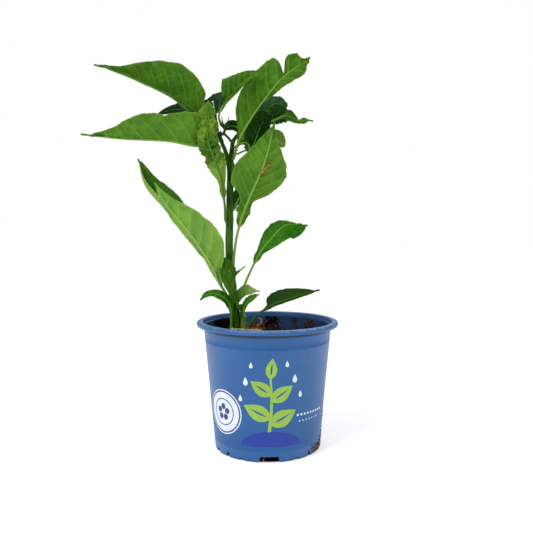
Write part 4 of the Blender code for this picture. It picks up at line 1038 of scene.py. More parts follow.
LEAVES = (
    Leaf("leaf_upper_left", "left",
         ((-44, -5, 271), (-48.5, -4, 275), (-56, -1, 277), (-65, 1, 283), (-80, 4, 294.5),
          (-108, 9, 309), (-134, 13, 320), (-148.5, 15, 325)),
         1, 28, (0.37, -0.8, 0.5), 45, None, 0.6, 1.1),
    Leaf("leaf_mid_left", "left",
         ((-42, -6, 258), (-47, -7, 256), (-52, -9, 254), (-58, -12, 252), (-79, -17, 255),
          (-118, -24, 256), (-148, -27, 259)),
         1, 24, (0.0, 0.41, 0.91), 51, None, 1.0, 1.1),
    Leaf("leaf_small_left_back", "left",
         ((-44, -5, 278), (-52, 8, 283), (-64, 16, 287), (-84, 26, 289), (-99, 32, 286)),
         1, 12, (0.1, -0.8, 0.6), 10, None, 0.4, 0.9),
    Leaf("leaf_crinkled", "stem",
         ((-34, -2, 190), (-35.6, -6, 204), (-36.6, -10, 214), (-38, -14, 226), (-42.5, -17, 239),
          (-47, -19, 252), (-48.5, -19, 264), (-48, -18, 277)),
         2, 11, (0.1, 0.85, 0.3), 16, None, 0.8, 1.1),
    Leaf("leaf_young_tip", "left",
         ((-44, -7, 266), (-47.5, -15, 267), (-49.5, -17, 274), (-48, -14, 288)),
         2, 6, (0.2, 0.9, 0.2), 20, None, 0.2, 0.8),
    Leaf("leaf_crown", "twig",
         ((-38, -3, 267), (-40, -6, 275), (-38.5, -9, 282), (-33, -12, 288), (-25, -14, 295),
          (-17, -16, 303), (-7.5, -17, 312)),
         3, 18, (-0.5, -0.7, 0.5), 42, None, 0.6, 1.0),
    Leaf("leaf_top_right", "right",
         ((-29, -2, 243), (-26, -5, 250), (-23, -7, 259), (-14, -10, 274), (-4, -12, 288),
          (13, -11, 308), (35, -6, 325)),
         2, 21.5, (-0.41, 0.84, 0.36), 36, None, 0.8, 1.1),
    Leaf("leaf_crown_back", "left",
         ((-43.5, -5, 281), (-40, 0, 290), (-40, 4, 295), (-46, 6, 294.5), (-53, 7, 291)),
         0, 5.5, (0.1, -0.9, 0.5), 8, (0.4, 0.9), 0.3, 0.7),
    Leaf("leaf_blistered", "right",
         ((-14, 21, 273), (-12, 24, 276), (-5, 28, 284), (7, 30, 293), (18, 31, 295)),
         1, 14, (-0.2, 0.9, 0.3), 20, None, 0.6, 0.9),
    Leaf("leaf_dark_cup", "right",
         ((-16.5, 18.5, 271), (-9, 19, 272), (1, 22, 277.5), (19, 24, 287)),
         2, 12, (0.0, -0.85, 0.4), 20, (0.5, 0.6), 0.3, 0.9, 10),
    Leaf("leaf_twisted", "right",
         ((-20, 16.6, 268.5), (-8, 15, 272), (4, 14, 277), (15, 13, 281), (21, 11, 279.5),
          (26, 8, 276.5), (32, 6, 276.5), (38.5, 3, 275)),
         3, 9, (0.1, -0.8, 0.5), 12, None, 1.6, 0.9),
    Leaf("leaf_small_pale", "right",
         ((-22, 15.3, 267), (-12, 17, 267), (1, 16, 267), (8, 14.5, 262), (15, 12, 255)),
         2, 7.5, (0.5, 0.75, 0.3), 14, (0.45, 0.8), 0.4, 0.8),
    Leaf("leaf_inner_dark", "right",
         ((-29.5, 4.2, 248), (-21, 6, 250), (-13, 7, 254), (-9, 8.5, 263), (-4, 9, 275), (4, 8, 282)),
         2, 13, (-0.3, -0.9, 0.2), 20, (0.45, 0.6), 0.5, 0.9),
    Leaf("leaf_cupped", "right",
         ((-30, 4, 253), (-24, 3, 255.5), (-19, 0, 256.5), (-15.5, -4, 253), (-15.5, -7, 247)),
         1, 4.6, (-0.5, 0.8, 0.1), 30, (0.45, 0.6), 0.2, 0.8, 20),
    Leaf("leaf_inner_left", "right",
         ((-24.5, 13.5, 265.5), (-23.5, 12, 269), (-29, 10, 272), (-37, 6, 269)),
         1, 5.5, (0.0, -0.95, 0.3), 14, (0.45, 0.7), 0.2, 0.8),
    Leaf("leaf_front", "stem",
         ((-30.5, -3, 150), (-28, -8, 160), (-25.5, -12, 177), (-20, -18, 196), (-14, -24, 210),
          (-6.5, -29, 226), (-1, -31, 240), (3, -32, 255), (5.5, -33, 267)),
         3, 21, (-0.15, 0.95, 0.25), 10, None, 0.7, 1.2),
    Leaf("leaf_behind_front", "stem",
         ((-31, 4, 200), (-27, 7, 206), (-23, 9, 213), (-18, 9, 222)),
         1, 7, (0.0, 0.9, 0.3), 16, (0.45, 0.8), 0.4, 0.8),
    Leaf("leaf_lower_left", "stem",
         ((-29, -2, 127), (-35, -5, 130), (-40, -10, 139), (-44, -16, 150), (-52, -25, 166),
          (-65, -32, 185), (-80, -35, 204), (-88, -35, 220)),
         2, 20.5, (0.48, 0.74, 0.47), 20, None, 0.4, 1.1),
    Leaf("leaf_lower_left_back", "stem",
         ((-31, 0, 126), (-37, 2, 132), (-46, 5, 145), (-58, 9, 165), (-72, 13, 182), (-91, 16, 204),
          (-106, 17, 222), (-112, 15, 245)),
         3, 16.5, (0.74, -0.46, 0.49), 47, (0.5, 0.9), 0.4, 1.1),
    Leaf("leaf_mid_right", "stem",
         ((-26, -3, 124), (-20.5, -8, 134), (-15.5, -9, 146), (-8.6, -11, 160), (-3.6, -12.5, 168.5),
          (2, -14, 175), (8, -15, 181.7), (14.5, -15, 187), (23, -13, 188), (33.4, -8, 187)),
         3, 12.5, (-0.25, -0.87, 0.4), -6, None, 0.7, 1.1, -6),
    Leaf("leaf_low_right", "shoot",
         ((-17.8, -8, 104), (-9.6, -8, 111.5), (0.5, -9, 119), (7, -10, 122.5), (19, -12, 126.5),
          (31, -12, 130.7), (43.3, -11, 133.5)),
         2, 11, (-0.15, -0.75, 0.65), 14, None, 0.3, 1.0),
    Leaf("leaf_drooping", None,
         ((-31.0, -7.5, 92.5), (-30.3, -8, 108), (-31.2, -10, 119), (-35.5, -13, 127), (-44, -16, 131),
          (-50, -18, 130.5), (-55, -19, 126)),
         2, 5.0, (0.1, -0.8, 0.6), 12, None, 0.4, 1.1, -10),
    Leaf("leaf_front_of_stem", "shoot",
         ((-22, -6, 118), (-26, -12, 125), (-30, -16, 133), (-35, -17, 141.5), (-37.5, -16, 150.5),
          (-38, -14, 162)),
         1, 9, (0.15, -0.95, 0.2), 8, None, 0.8, 1.1, -10),
    Leaf("leaf_spike_right", "stem",
         ((-30, -4.8, 144.5), (-26.5, -9, 147), (-23.5, -9.5, 149.3), (-18.6, -9, 153.2)),
         0, 1.5, (0.3, -0.9, -0.2), 10, (0.3, 1.1), 0.0, 0.7),
    Leaf("leaf_spike_left", "stem",
         ((-32.2, -3.3, 136), (-37, -4, 140), (-46, -5, 145)),
         1, 2.2, (0.3, 0.6, 0.6), 20, (0.4, 0.8), 0.0, 0.6),
    Leaf("leaf_base_pale", "stem",
         ((-28.6, 1, 121), (-26, 3, 125), (-21, 2, 129), (-15, 0, 131.3), (-6.5, -1, 131.6)),
         1, 5.5, (0.05, -0.8, 0.6), 8, None, 0.5, 0.9),
    Leaf("leaf_sprout", "shoot",
         ((-20.5, -5.5, 110), (-19.6, -8.5, 115), (-19, -9, 120), (-15.4, -10, 125), (-7, -11, 130)),
         1, 3.2, (-0.4, -0.85, 0.35), 14, (0.5, 0.8), 0.3, 0.8),
)
CARRIERS = {
    "stem": (STEM_RIB, STEM_RADII),
    "left": (LEFT_BRANCH_RIB, LEFT_BRANCH_RADII),
    "right": (RIGHT_BRANCH_RIB, RIGHT_BRANCH_RADII),
    "twig": (TWIG_RIB, TWIG_RADII),
    "shoot": (SHOOT_RIB, SHOOT_RADII),
}
# Finish, and millimetres of bulge between veins, of blisters, and of slow wobble.
PLAIN_LOOK = ("leaf_deep", 0.5, 0.15, 0.6)
LOOKS = {
    "leaf_upper_left": ("leaf_fresh", 1.5, 0.3, 1.6),
    "leaf_mid_left": ("leaf_silver", 1.5, 0.3, 2.4),
    "leaf_crinkled": ("leaf_olive", 0.6, 3.6, 1.0),
    "leaf_young_tip": ("leaf_olive", 0.4, 0.3, 0.3),
    "leaf_crown": ("leaf_fresh", 1.2, 0.4, 1.5),
    "leaf_top_right": ("leaf_fresh", 1.5, 0.5, 2.2),
    "leaf_crown_back": ("leaf_bluish", 0.3, 0.6, 0.3),
    "leaf_blistered": ("leaf_bluish", 0.7, 1.3, 0.6),
    "leaf_dark_cup": ("leaf_deep", 0.8, 0.6, 0.8),
    "leaf_twisted": ("leaf_fresh", 0.4, 0.7, 0.9),
    "leaf_small_pale": ("leaf_pale", 0.5, 0.3, 0.4),
    "leaf_inner_dark": ("leaf_deep", 0.8, 0.3, 0.7),
    "leaf_front": ("leaf_silver", 1.5, 0.6, 2.2),
    "leaf_lower_left": ("leaf_pale", 1.4, 0.25, 1.8),
    "leaf_lower_left_back": ("leaf_pale", 0.7, 0.2, 0.9),
    "leaf_mid_right": ("leaf_glossy", 1.2, 0.3, 1.6),
    "leaf_low_right": ("leaf_night", 0.2, 0.2, 0.9),
    "leaf_base_pale": ("leaf_young", 0.4, 0.3, 0.4),
    "leaf_spike_right": ("leaf_fresh", 0.2, 0.1, 0.2),
    "leaf_spike_left": ("leaf_young", 0.2, 0.1, 0.2),
    "leaf_drooping": ("leaf_glossy", 0.4, 0.2, 0.5),
    "leaf_front_of_stem": ("leaf_dull", 0.5, 0.7, 0.8),
    "leaf_sprout": ("leaf_glossy", 0.4, 0.2, 0.3),
}
# Half widths of the leaves whose outline isn't an even one, in millimetres: shares of the blade's
# length, and the width there of the half on each side of the rib, across and against it.
OUTLINES = {
    "leaf_upper_left": (
        (0, 0.04, 0.1, 0.2, 0.35, 0.53, 0.7, 0.79, 0.88, 0.96, 1),
        (4, 12, 18, 24, 28, 22, 11.5, 6, 3, 1.6, 0.5), (7, 15, 19, 24.5, 28, 22, 11.5, 6, 3, 1.6, 0.5)),
    "leaf_mid_left": (
        (0, 0.04, 0.1, 0.17, 0.23, 0.31, 0.38, 0.46, 0.54, 0.61, 0.69, 0.77, 0.85, 0.93, 1),
        (9, 19, 25, 27, 26, 23, 20.5, 21.5, 20.5, 18, 13.5, 8, 4.2, 1.7, 0.5),
        (4, 14, 20, 22, 23, 22, 20, 19, 17, 14, 10.5, 7, 4, 1.7, 0.5)),
    "leaf_small_left_back": (
        (0, 0.06, 0.15, 0.35, 0.6, 0.8, 0.93, 1),
        (9, 12.5, 14, 12.5, 8.5, 5, 2, 0.4), (9, 12.5, 14, 12.5, 8.5, 5, 2, 0.4)),
    "leaf_crinkled": (
        (0, 0.08, 0.17, 0.26, 0.34, 0.42, 0.5, 0.58, 0.7, 0.8, 0.9, 0.97, 1),
        (1.5, 2, 3.6, 5.6, 8, 9, 8, 8, 8.6, 8.6, 8, 5, 2),
        (1.5, 2, 3.6, 6.4, 8.6, 9.5, 9, 10.5, 9.5, 9.5, 10.5, 10, 5)),
    "leaf_young_tip": (
        (0, 0.2, 0.45, 0.6, 0.8, 1), (6, 7, 7.5, 6.5, 4, 0.4), (11, 10, 8.5, 6, 3, 0.4)),
    "leaf_crown": (
        (0, 0.06, 0.15, 0.24, 0.4, 0.61, 0.82, 1),
        (4, 9.5, 13, 16, 14, 10, 6, 0.5), (2, 4, 6, 8, 9, 9, 6, 0.5)),
    "leaf_top_right": (
        (0, 0.04, 0.08, 0.15, 0.29, 0.45, 0.55, 0.62, 0.665, 0.68, 0.69, 0.7, 0.712, 0.75, 0.8, 0.85, 0.9,
         0.95, 1),
        (1.5, 1.8, 2.2, 3, 4, 6, 11, 15, 16.5, 17, 17.5, 17.5, 17.5, 17, 16, 12.5, 9, 5, 0.5),
        (1.5, 8.5, 15, 17.5, 20, 19.5, 18.5, 16.5, 11, 5, 0.3, 0.3, 9.5, 12, 10.5, 9.5, 4.5, 2, 0.5)),
    "leaf_blistered": (
        (0, 0.2, 0.45, 0.6, 0.72, 0.8, 0.9, 1),
        (5, 12, 14, 12, 11, 7.5, 6, 1.5), (5, 10, 12, 12, 8, 8, 5, 1.5)),
    "leaf_front": (
        (0, 0.08, 0.14, 0.185, 0.22, 0.25, 0.31, 0.41, 0.51, 0.61, 0.71, 0.81, 0.91, 1),
        (3.4, 4.2, 5, 8, 11.5, 13.5, 16.5, 20, 22, 18.5, 12.5, 6.5, 2.2, 0.5),
        (5, 5.6, 6, 9, 16.5, 19.5, 20.5, 21.4, 19, 15.5, 12, 8.4, 4, 0.5)),
    "leaf_twisted": (
        (0, 0.1, 0.28, 0.42, 0.56, 0.7, 0.85, 1),
        (5, 6, 4, 2.6, 1.6, 1.8, 1.2, 0.4), (5, 8.5, 9.5, 8.5, 3.6, 2, 1.8, 0.4)),
    "leaf_lower_left": (
        (0, 0.11, 0.24, 0.37, 0.5, 0.65, 0.78, 0.9, 1),
        (2, 5.4, 14.5, 21.5, 20.5, 15.4, 10, 4.5, 0.5), (1.8, 2.2, 5, 8, 10.5, 12.5, 10, 5, 0.5)),
    "leaf_mid_right": (
        (0, 0.1, 0.18, 0.26, 0.36, 0.5, 0.6, 0.68, 0.76, 0.87, 1),
        (1.6, 3, 5.4, 9.5, 11.8, 12.2, 10, 5.5, 2, 1, 0.4),
        (1.6, 2.8, 4.6, 6.5, 8.5, 10.5, 12, 12.5, 12.5, 9, 0.5)),
    "leaf_low_right": (
        (0, 0.02, 0.06, 0.12, 0.25, 0.45, 0.62, 0.8, 0.92, 1),
        (2.5, 6, 8.2, 9.4, 10.8, 9.8, 7, 3.4, 1.4, 0.4), (1.2, 1.8, 2.2, 2.6, 3, 3, 2.5, 2, 1, 0.4)),
    "leaf_front_of_stem": (
        (0, 0.12, 0.25, 0.4, 0.5, 0.6, 0.72, 0.86, 0.94, 1),
        (2, 2.6, 2.6, 2.2, 1.8, 1.8, 1.6, 1.4, 1, 0.5), (2.5, 4.2, 6, 8.4, 10.5, 11.8, 11.4, 9, 5.5, 1)),
    "leaf_base_pale": (
        (0, 0.2, 0.4, 0.55, 0.7, 0.85, 1),
        (3.4, 5.4, 7.4, 6.8, 3.4, 1.8, 0.4), (2.6, 4, 4.6, 3.8, 2.8, 1.4, 0.4)),
    "leaf_drooping": (
        (0, 0.12, 0.25, 0.5, 0.75, 0.9, 1), (2, 3.2, 4, 4, 3, 1.8, 0.4), (2, 3.4, 4.4, 4.2, 3, 1.8, 0.4)),
}
# How far forward the halves of a blade run for each millimetre out.
LEANS = {"leaf_top_right": 0.75, "leaf_front": 0.12, "leaf_upper_left": 0.15, "leaf_blistered": 0.3}
# How ragged a margin is, as a share of the half width.
RAGGED = {"leaf_crinkled": 0.14, "leaf_twisted": 0.14, "leaf_blistered": 0.14, "leaf_dark_cup": 0.12,
          "leaf_inner_dark": 0.12, "leaf_crown_back": 0.3, "leaf_small_pale": 0.12, "leaf_base_pale": 0.14,
          "leaf_sprout": 0.2, "leaf_front_of_stem": 0.1, "leaf_young_tip": 0.1,
          "leaf_upper_left": 0.015, "leaf_lower_left": 0.02}
EVENLY_RAGGED = 0.04
SMOOTH_BASE = {"leaf_crinkled": (0.25, 0.48)}    # where a blistered leaf starts to crumple
SMOOTH_LEAF = (122, 160, 62)                     # its colour up to there
RUN_DOWN = ((0.0, 5.0, 12.0), (2.6, 1.2, 0.0))   # narrow wings down a stalk: before the blade, half width
LONG_RUNS_DOWN = {"leaf_front": ((0.0, 7.0, 14.0), (4.5, 3.5, 0.0))}
# Old feeding scars: the middle and the radius of each.
SCARS = {"leaf_front": (((-3.4, -29.5, 228.5), 2.9), ((-0.5, -30.5, 231.5), 3.0), ((2.6, -31.0, 233.8), 3.2),
                        ((5.4, -31.5, 235.0), 2.6)),
         "leaf_top_right": (((7.5, -11.0, 327.0), 1.5),),
         "leaf_front_of_stem": (((-31.5, -15.0, 149.5), 1.6),)}
SCAR_EDGE = (98, 80, 34)
SCAR_MIDDLE = (178, 140, 84)
JOINT_RUN = 2.0            # a stalk leaves its carrier square to it for this far
JOINT_DEPTH = 0.5          # and starts this deep in the carrier's skin
JOINT_TRIES = 60           # places along the carrier that are tried for the nearest one
STALK_STEP = 1.1
BLADE_STEP = 0.75
COLUMNS = 28               # from the rib to each margin
BLADE_THICKNESS = 0.42
KEEL = (0.85, 0.3)         # depth of the rib under the blade: share of its radius, and least depth
GROOVE = 0.32              # depth of the groove along the rib's upper side, as a share of its radius
STALK_TAPER = 0.25
RIB_TAPER = 0.72           # and the rib's along the blade, and its groove's
GROOVE_TAPER = 0.8
MARGIN_THINNING = 0.55     # how much thinner the blade is at its margin
FRILL = 1.6                # how far the margin strays, in millimetres
FOLD_ROUND = 0.05          # roundness of the fold, as a share of the half width
FLATTENING = (1.1, 3.0)    # half widths, in stalk radii, between which the stalk turns into a blade
RIPPLE_TURN = 11.0         # radians of the margin's ripple from base to tip
LONG_BLADE = 45.0
VEIN_PAIRS = (5.5, 7.5)    # on a short blade, and on a long one
VEIN_LEAN = (0.7, 0.28)    # how far a side vein runs forward for each millimetre out, and its bend


def joint_on(carrier, near, towards):
    """The place in a carrier's skin where a stalk starts, and the way it leaves."""
    rib, radii = CARRIERS[carrier]
    marks, at, _ = smooth_path(rib)
    places = [i / JOINT_TRIES for i in range(JOINT_TRIES + 1)]
    place = min(places, key=lambda share: (at(share) - near).length)
    centre = at(place)
    along = (at(min(place + 0.02, 1)) - at(max(place - 0.02, 0))).normalized()
    out = towards - centre
    out = (out - along * out.dot(along)).normalized()
    return centre + out * (float(np.interp(place, marks, radii)) - JOINT_DEPTH), out


def leaf_rib(leaf):
    """The leaf's rib with its foot seated on the carrier, and how many points the stalk has."""
    rib = [Vector(p) for p in leaf.rib]
    if leaf.carrier is None:
        return rib, leaf.stalk
    foot, out = joint_on(leaf.carrier, rib[0], rib[1])
    return [foot, foot + out * (JOINT_RUN + JOINT_DEPTH)] + rib[1:], leaf.stalk + 1


def blade_share(leaf, t):
    """Half width of an even blade at t from 0 at its base to 1 at its tip, as a share of the widest."""
    widest, point = leaf.even
    rise = point * widest / (1 - widest)
    peak = widest ** rise * (1 - widest) ** point
    return (t ** rise) * ((1 - t) ** point) / peak


def leaf_frames(leaf, at, stations, start):
    """Centre, up and across at each station: the blade keeps its face, the stalk follows it."""
    headings = [(at(s + 0.01) - at(s - 0.01)).normalized() for s in stations]
    ups = []
    for station, ahead in zip(reversed(stations), reversed(headings)):
        if station > start:
            share = (station - start) / (1 - start)
            up = Matrix.Rotation(math.radians(leaf.twist * share), 3, ahead) @ Vector(leaf.face)
        else:
            up = ups[-1]
        ups.append((up - ahead * up.dot(ahead)).normalized())
    ups.reverse()
    return [(at(s), up, up.cross(ahead)) for s, up, ahead in zip(stations, ups, headings)]


def smooth_share(value, low, high):
    value = np.clip((value - low) / (high - low), 0.0, 1.0)
    return value * value * (3 - 2 * value)


def leaf_columns():
    """Signed shares of the half width across the leaf, closest together at the rib and margins."""
    half = [i / COLUMNS for i in range(COLUMNS + 1)]
    half = [0.97 * u * (0.4 + 0.6 * u) for u in half] + [1.0]
    return np.array([u for u in reversed(half)] + [-u for u in half[1:]])


def crumpling(leaf, t):
    """How fully a leaf has crumpled at t."""
    return float(smooth_share(t, *SMOOTH_BASE[leaf.name])) if leaf.name in SMOOTH_BASE else 1.0


def half_widths(leaf, t, before, radius, side, seed):
    """Half widths of the blade, or of the wings on its stalk, on each side of the rib."""
    if t <= 0:
        even = np.zeros(2)
    elif leaf.name in OUTLINES:
        places, ahead, behind = OUTLINES[leaf.name]
        near = [min(max(t + shift, 0.0), 1.0) for shift in (-0.008, 0.0, 0.008)]
        even = np.array([np.mean(np.interp(near, places, ahead)), np.mean(np.interp(near, places, behind))])
    else:
        even = np.full(2, leaf.width * blade_share(leaf, min(t, 1.0)))
    if t > 0:
        rough = RAGGED.get(leaf.name, EVENLY_RAGGED) * crumpling(leaf, t)
        even *= [1 + rough * (noise(Vector((t * 17, seed, 3 * k)))
                              + noise(Vector((t * 41, seed, 5 * k))) * 0.6) for k in (1, 2)]
    even = np.maximum(even, radius * (1 - max(t, 0)) + 0.12)
    wing = float(np.interp(before, *LONG_RUNS_DOWN.get(leaf.name, RUN_DOWN)))
    even = np.hypot(even, min(wing, leaf.width * 0.35) * (1 - float(smooth_share(t, 0.0, 0.15))))
    return np.where(side > 0, even[0], even[1]), float(even.mean())


def leaf_section(leaf, t, before, radius, signed, top, seed):
    """One section across the leaf: offsets across and up, the local lift, and what marks it."""
    side = np.where(signed >= 0, 1.0, -1.0)
    s = np.abs(signed)
    widths, width = half_widths(leaf, t, before, radius, side, seed)
    bend = np.radians(leaf.fold + leaf.curl * s * 0.5) * float(smooth_share(width / radius, 1.0, 4.0))
    rounded = np.sqrt(s ** 2 + FOLD_ROUND ** 2) - FOLD_ROUND
    across = widths * s * np.cos(bend) * side
    up = widths * rounded / (1 - FOLD_ROUND) * np.sin(bend)
    slope = bend * s / np.sqrt(s ** 2 + FOLD_ROUND ** 2)
    lift = np.stack([-side * np.sin(slope), np.cos(slope)])
    flat = widths * s
    rib = np.maximum(radius * (1 - RIB_TAPER * max(t, 0)), 0.3)
    ripple = side * leaf.wave * math.sin(max(t, 0) * RIPPLE_TURN) * s ** 3
    half_thick = min(BLADE_THICKNESS / 2, width * 0.3) * (1 - MARGIN_THINNING * s ** 4)
    keel = (radius * (1 - max(t, 0)) * KEEL[0] + KEEL[1]) * np.exp(-(flat / rib) ** 2)
    groove = radius * (1 - GROOVE_TAPER * max(t, 0)) * GROOVE * np.exp(-(flat / (0.7 * rib)) ** 2)
    inner = s < 1
    offset = np.where(top, half_thick - groove, -half_thick - keel) * inner + ripple
    sheet = np.stack([across + lift[0] * offset, up + lift[1] * offset])
    turn = math.pi / 2 * signed
    dip = 1 - GROOVE * np.exp(-(signed / 0.3) ** 2) * top
    stalk = np.stack([radius * np.sin(turn), radius * np.cos(turn) * np.where(top, dip, -1)])
    flatness = float(smooth_share(width / radius, *FLATTENING))
    return (stalk * (1 - flatness) + sheet * flatness, lift * flatness, flat * side, flatness,
            np.exp(-(flat / (1.25 * rib)) ** 2) * (1 - float(smooth_share(t, 0.8, 0.97))), width)


def leaf_mesh(leaf, seed):
    """The leaf's closed skin, with what its relief and its finish need to know at each point."""
    rib, stalk = leaf_rib(leaf)
    marks, at, length = smooth_path(rib)
    start = marks[stalk]
    stalk_rows = max(6, round(length * start / STALK_STEP))
    blade = length * (1 - start)
    blade_rows = max(30, round(blade / BLADE_STEP))
    stations = [start * i / stalk_rows for i in range(stalk_rows)]
    for i in range(blade_rows + 1):
        even = i / blade_rows
        eased = (1 - math.cos(math.pi * even)) / 2
        stations.append(start + (1 - start) * (0.55 * even + 0.45 * eased))
    columns = leaf_columns()
    signed = np.concatenate([columns, columns[-2:0:-1]])
    top = np.arange(len(signed)) < len(columns)
    under = np.where(np.abs(signed) == 1, 0.5, np.where(top, 0.0, 1.0))
    rows = []
    lean = LEANS.get(leaf.name, 0.0)
    for station, (centre, up, across) in zip(stations, leaf_frames(leaf, at, stations, start)):
        t = (station - start) / (1 - start)
        radius = leaf.stem * (1 - STALK_TAPER * min(station / start, 1))
        found = leaf_section(leaf, t, (start - station) * length, radius, signed, top, seed)
        offset, lift, flat, flatness, ribbed, width = found
        across_up = np.array([across, up])
        forward = lean * np.abs(flat) * (1 - float(smooth_share(t, 0.85, 1.0)))
        rows.append((np.array(centre) + offset.T @ across_up + np.outer(forward, across.cross(up)),
                     lift.T @ across_up, flat, t * blade + forward,
                     np.full(len(signed), (1 - flatness) * float(smooth_share(t, 0.3, 0.0))), ribbed,
                     np.full(len(signed), width), np.full(len(signed), crumpling(leaf, t))))
    points, lift, flat, along, stalky, ribbed, width, crumpled = map(np.concatenate, zip(*rows))
    ring = len(signed)
    faces = [(i * ring + j, i * ring + (j + 1) % ring, (i + 1) * ring + (j + 1) % ring, (i + 1) * ring + j)
             for i in range(len(stations) - 1) for j in range(ring)]
    faces += [tuple(range(ring))[::-1], tuple(range(len(points) - ring, len(points)))]
    mesh = bpy.data.meshes.new(leaf.name)
    mesh.from_pydata(real(points).tolist(), [], faces)
    out = np.abs(flat)
    pairs = VEIN_PAIRS[blade > LONG_BLADE]
    vein = (along - VEIN_LEAN[0] * out - VEIN_LEAN[1] * out ** 2 / np.maximum(width, 4.0)) * pairs / blade
    vein += np.where(flat > 0, 0.0, 0.4)
    scar = np.zeros(len(points))
    for middle, size in SCARS.get(leaf.name, ()):
        scar = np.maximum(scar, np.exp(-(np.linalg.norm(points - np.array(middle), axis=1) / size) ** 2))
    skin = {"under": np.tile(under, len(stations)), "margin": np.tile(np.abs(signed), len(stations)),
              "stalk": stalky, "ribbed": ribbed, "vein": vein, "scar": scar, "crumpled": crumpled}
    for name, values in skin.items():
        mesh.attributes.new(name, "FLOAT", "POINT").data.foreach_set("value", values)
    spot = np.stack([along + seed * 37.0, flat, np.full(len(points), seed * 5.0)], axis=1)
    mesh.attributes.new("spot", "FLOAT_VECTOR", "POINT").data.foreach_set("vector", spot.ravel())
    mesh.attributes.new("lift", "FLOAT_VECTOR", "POINT").data.foreach_set("vector", lift.ravel())
    return mesh


def relief_tree():
    """Bulges between sunken veins, blisters and a slow wobble, the same on both of a leaf's sides."""
    tree, given = start_shape("leaf_relief", {"Bulge": "Float", "Blister": "Float", "Wobble": "Float"})

    def marked(name, kind="FLOAT"):
        return wire(tree, "GeometryNodeInputNamedAttribute", {"Name": name}, data_type=kind).outputs[0]

    spot, margin = marked("spot", "FLOAT_VECTOR"), marked("margin")
    near = sums(tree, "PINGPONG", marked("vein"), 0.5)
    inside = step(tree, margin, 1.0, 0.7)
    off_rib = step(tree, marked("ribbed"), 0.6, 0.0)
    bulge = times(tree, step(tree, near, 0.0, 0.42), given["Bulge"])
    groove = times(tree, step(tree, near, 0.06, 0.0), -0.22)
    veined = times(tree, plus(tree, bulge, groove), inside)
    lumps = grain(tree, spot, 0.2, detail=2.0, roughness=0.45)
    lumps = sums(tree, "ABSOLUTE", sums(tree, "SUBTRACT", lumps, 0.5))
    blister = times(tree, lumps, given["Blister"], 5.0, marked("crumpled"))
    slow = sums(tree, "SUBTRACT", grain(tree, spot, 0.035, detail=1.0), 0.5)
    wobble = times(tree, slow, given["Wobble"], sums(tree, "MULTIPLY_ADD", margin, 4.0, 1.0))
    frill = sums(tree, "SUBTRACT", grain(tree, spot, 0.13, detail=2.0), 0.5)
    frill = times(tree, frill, FRILL, step(tree, margin, 0.6, 1.0))
    height = times(tree, plus(tree, veined, blister, wobble, frill), off_rib, MM)
    push = vectors(tree, "SCALE", {0: marked("lift", "FLOAT_VECTOR"), "Scale": height})
    moved = wire(tree, "GeometryNodeSetPosition", {"Geometry": given["Geometry"], "Offset": push}).outputs[0]
    end_shape(tree, given, moved)
    return tree


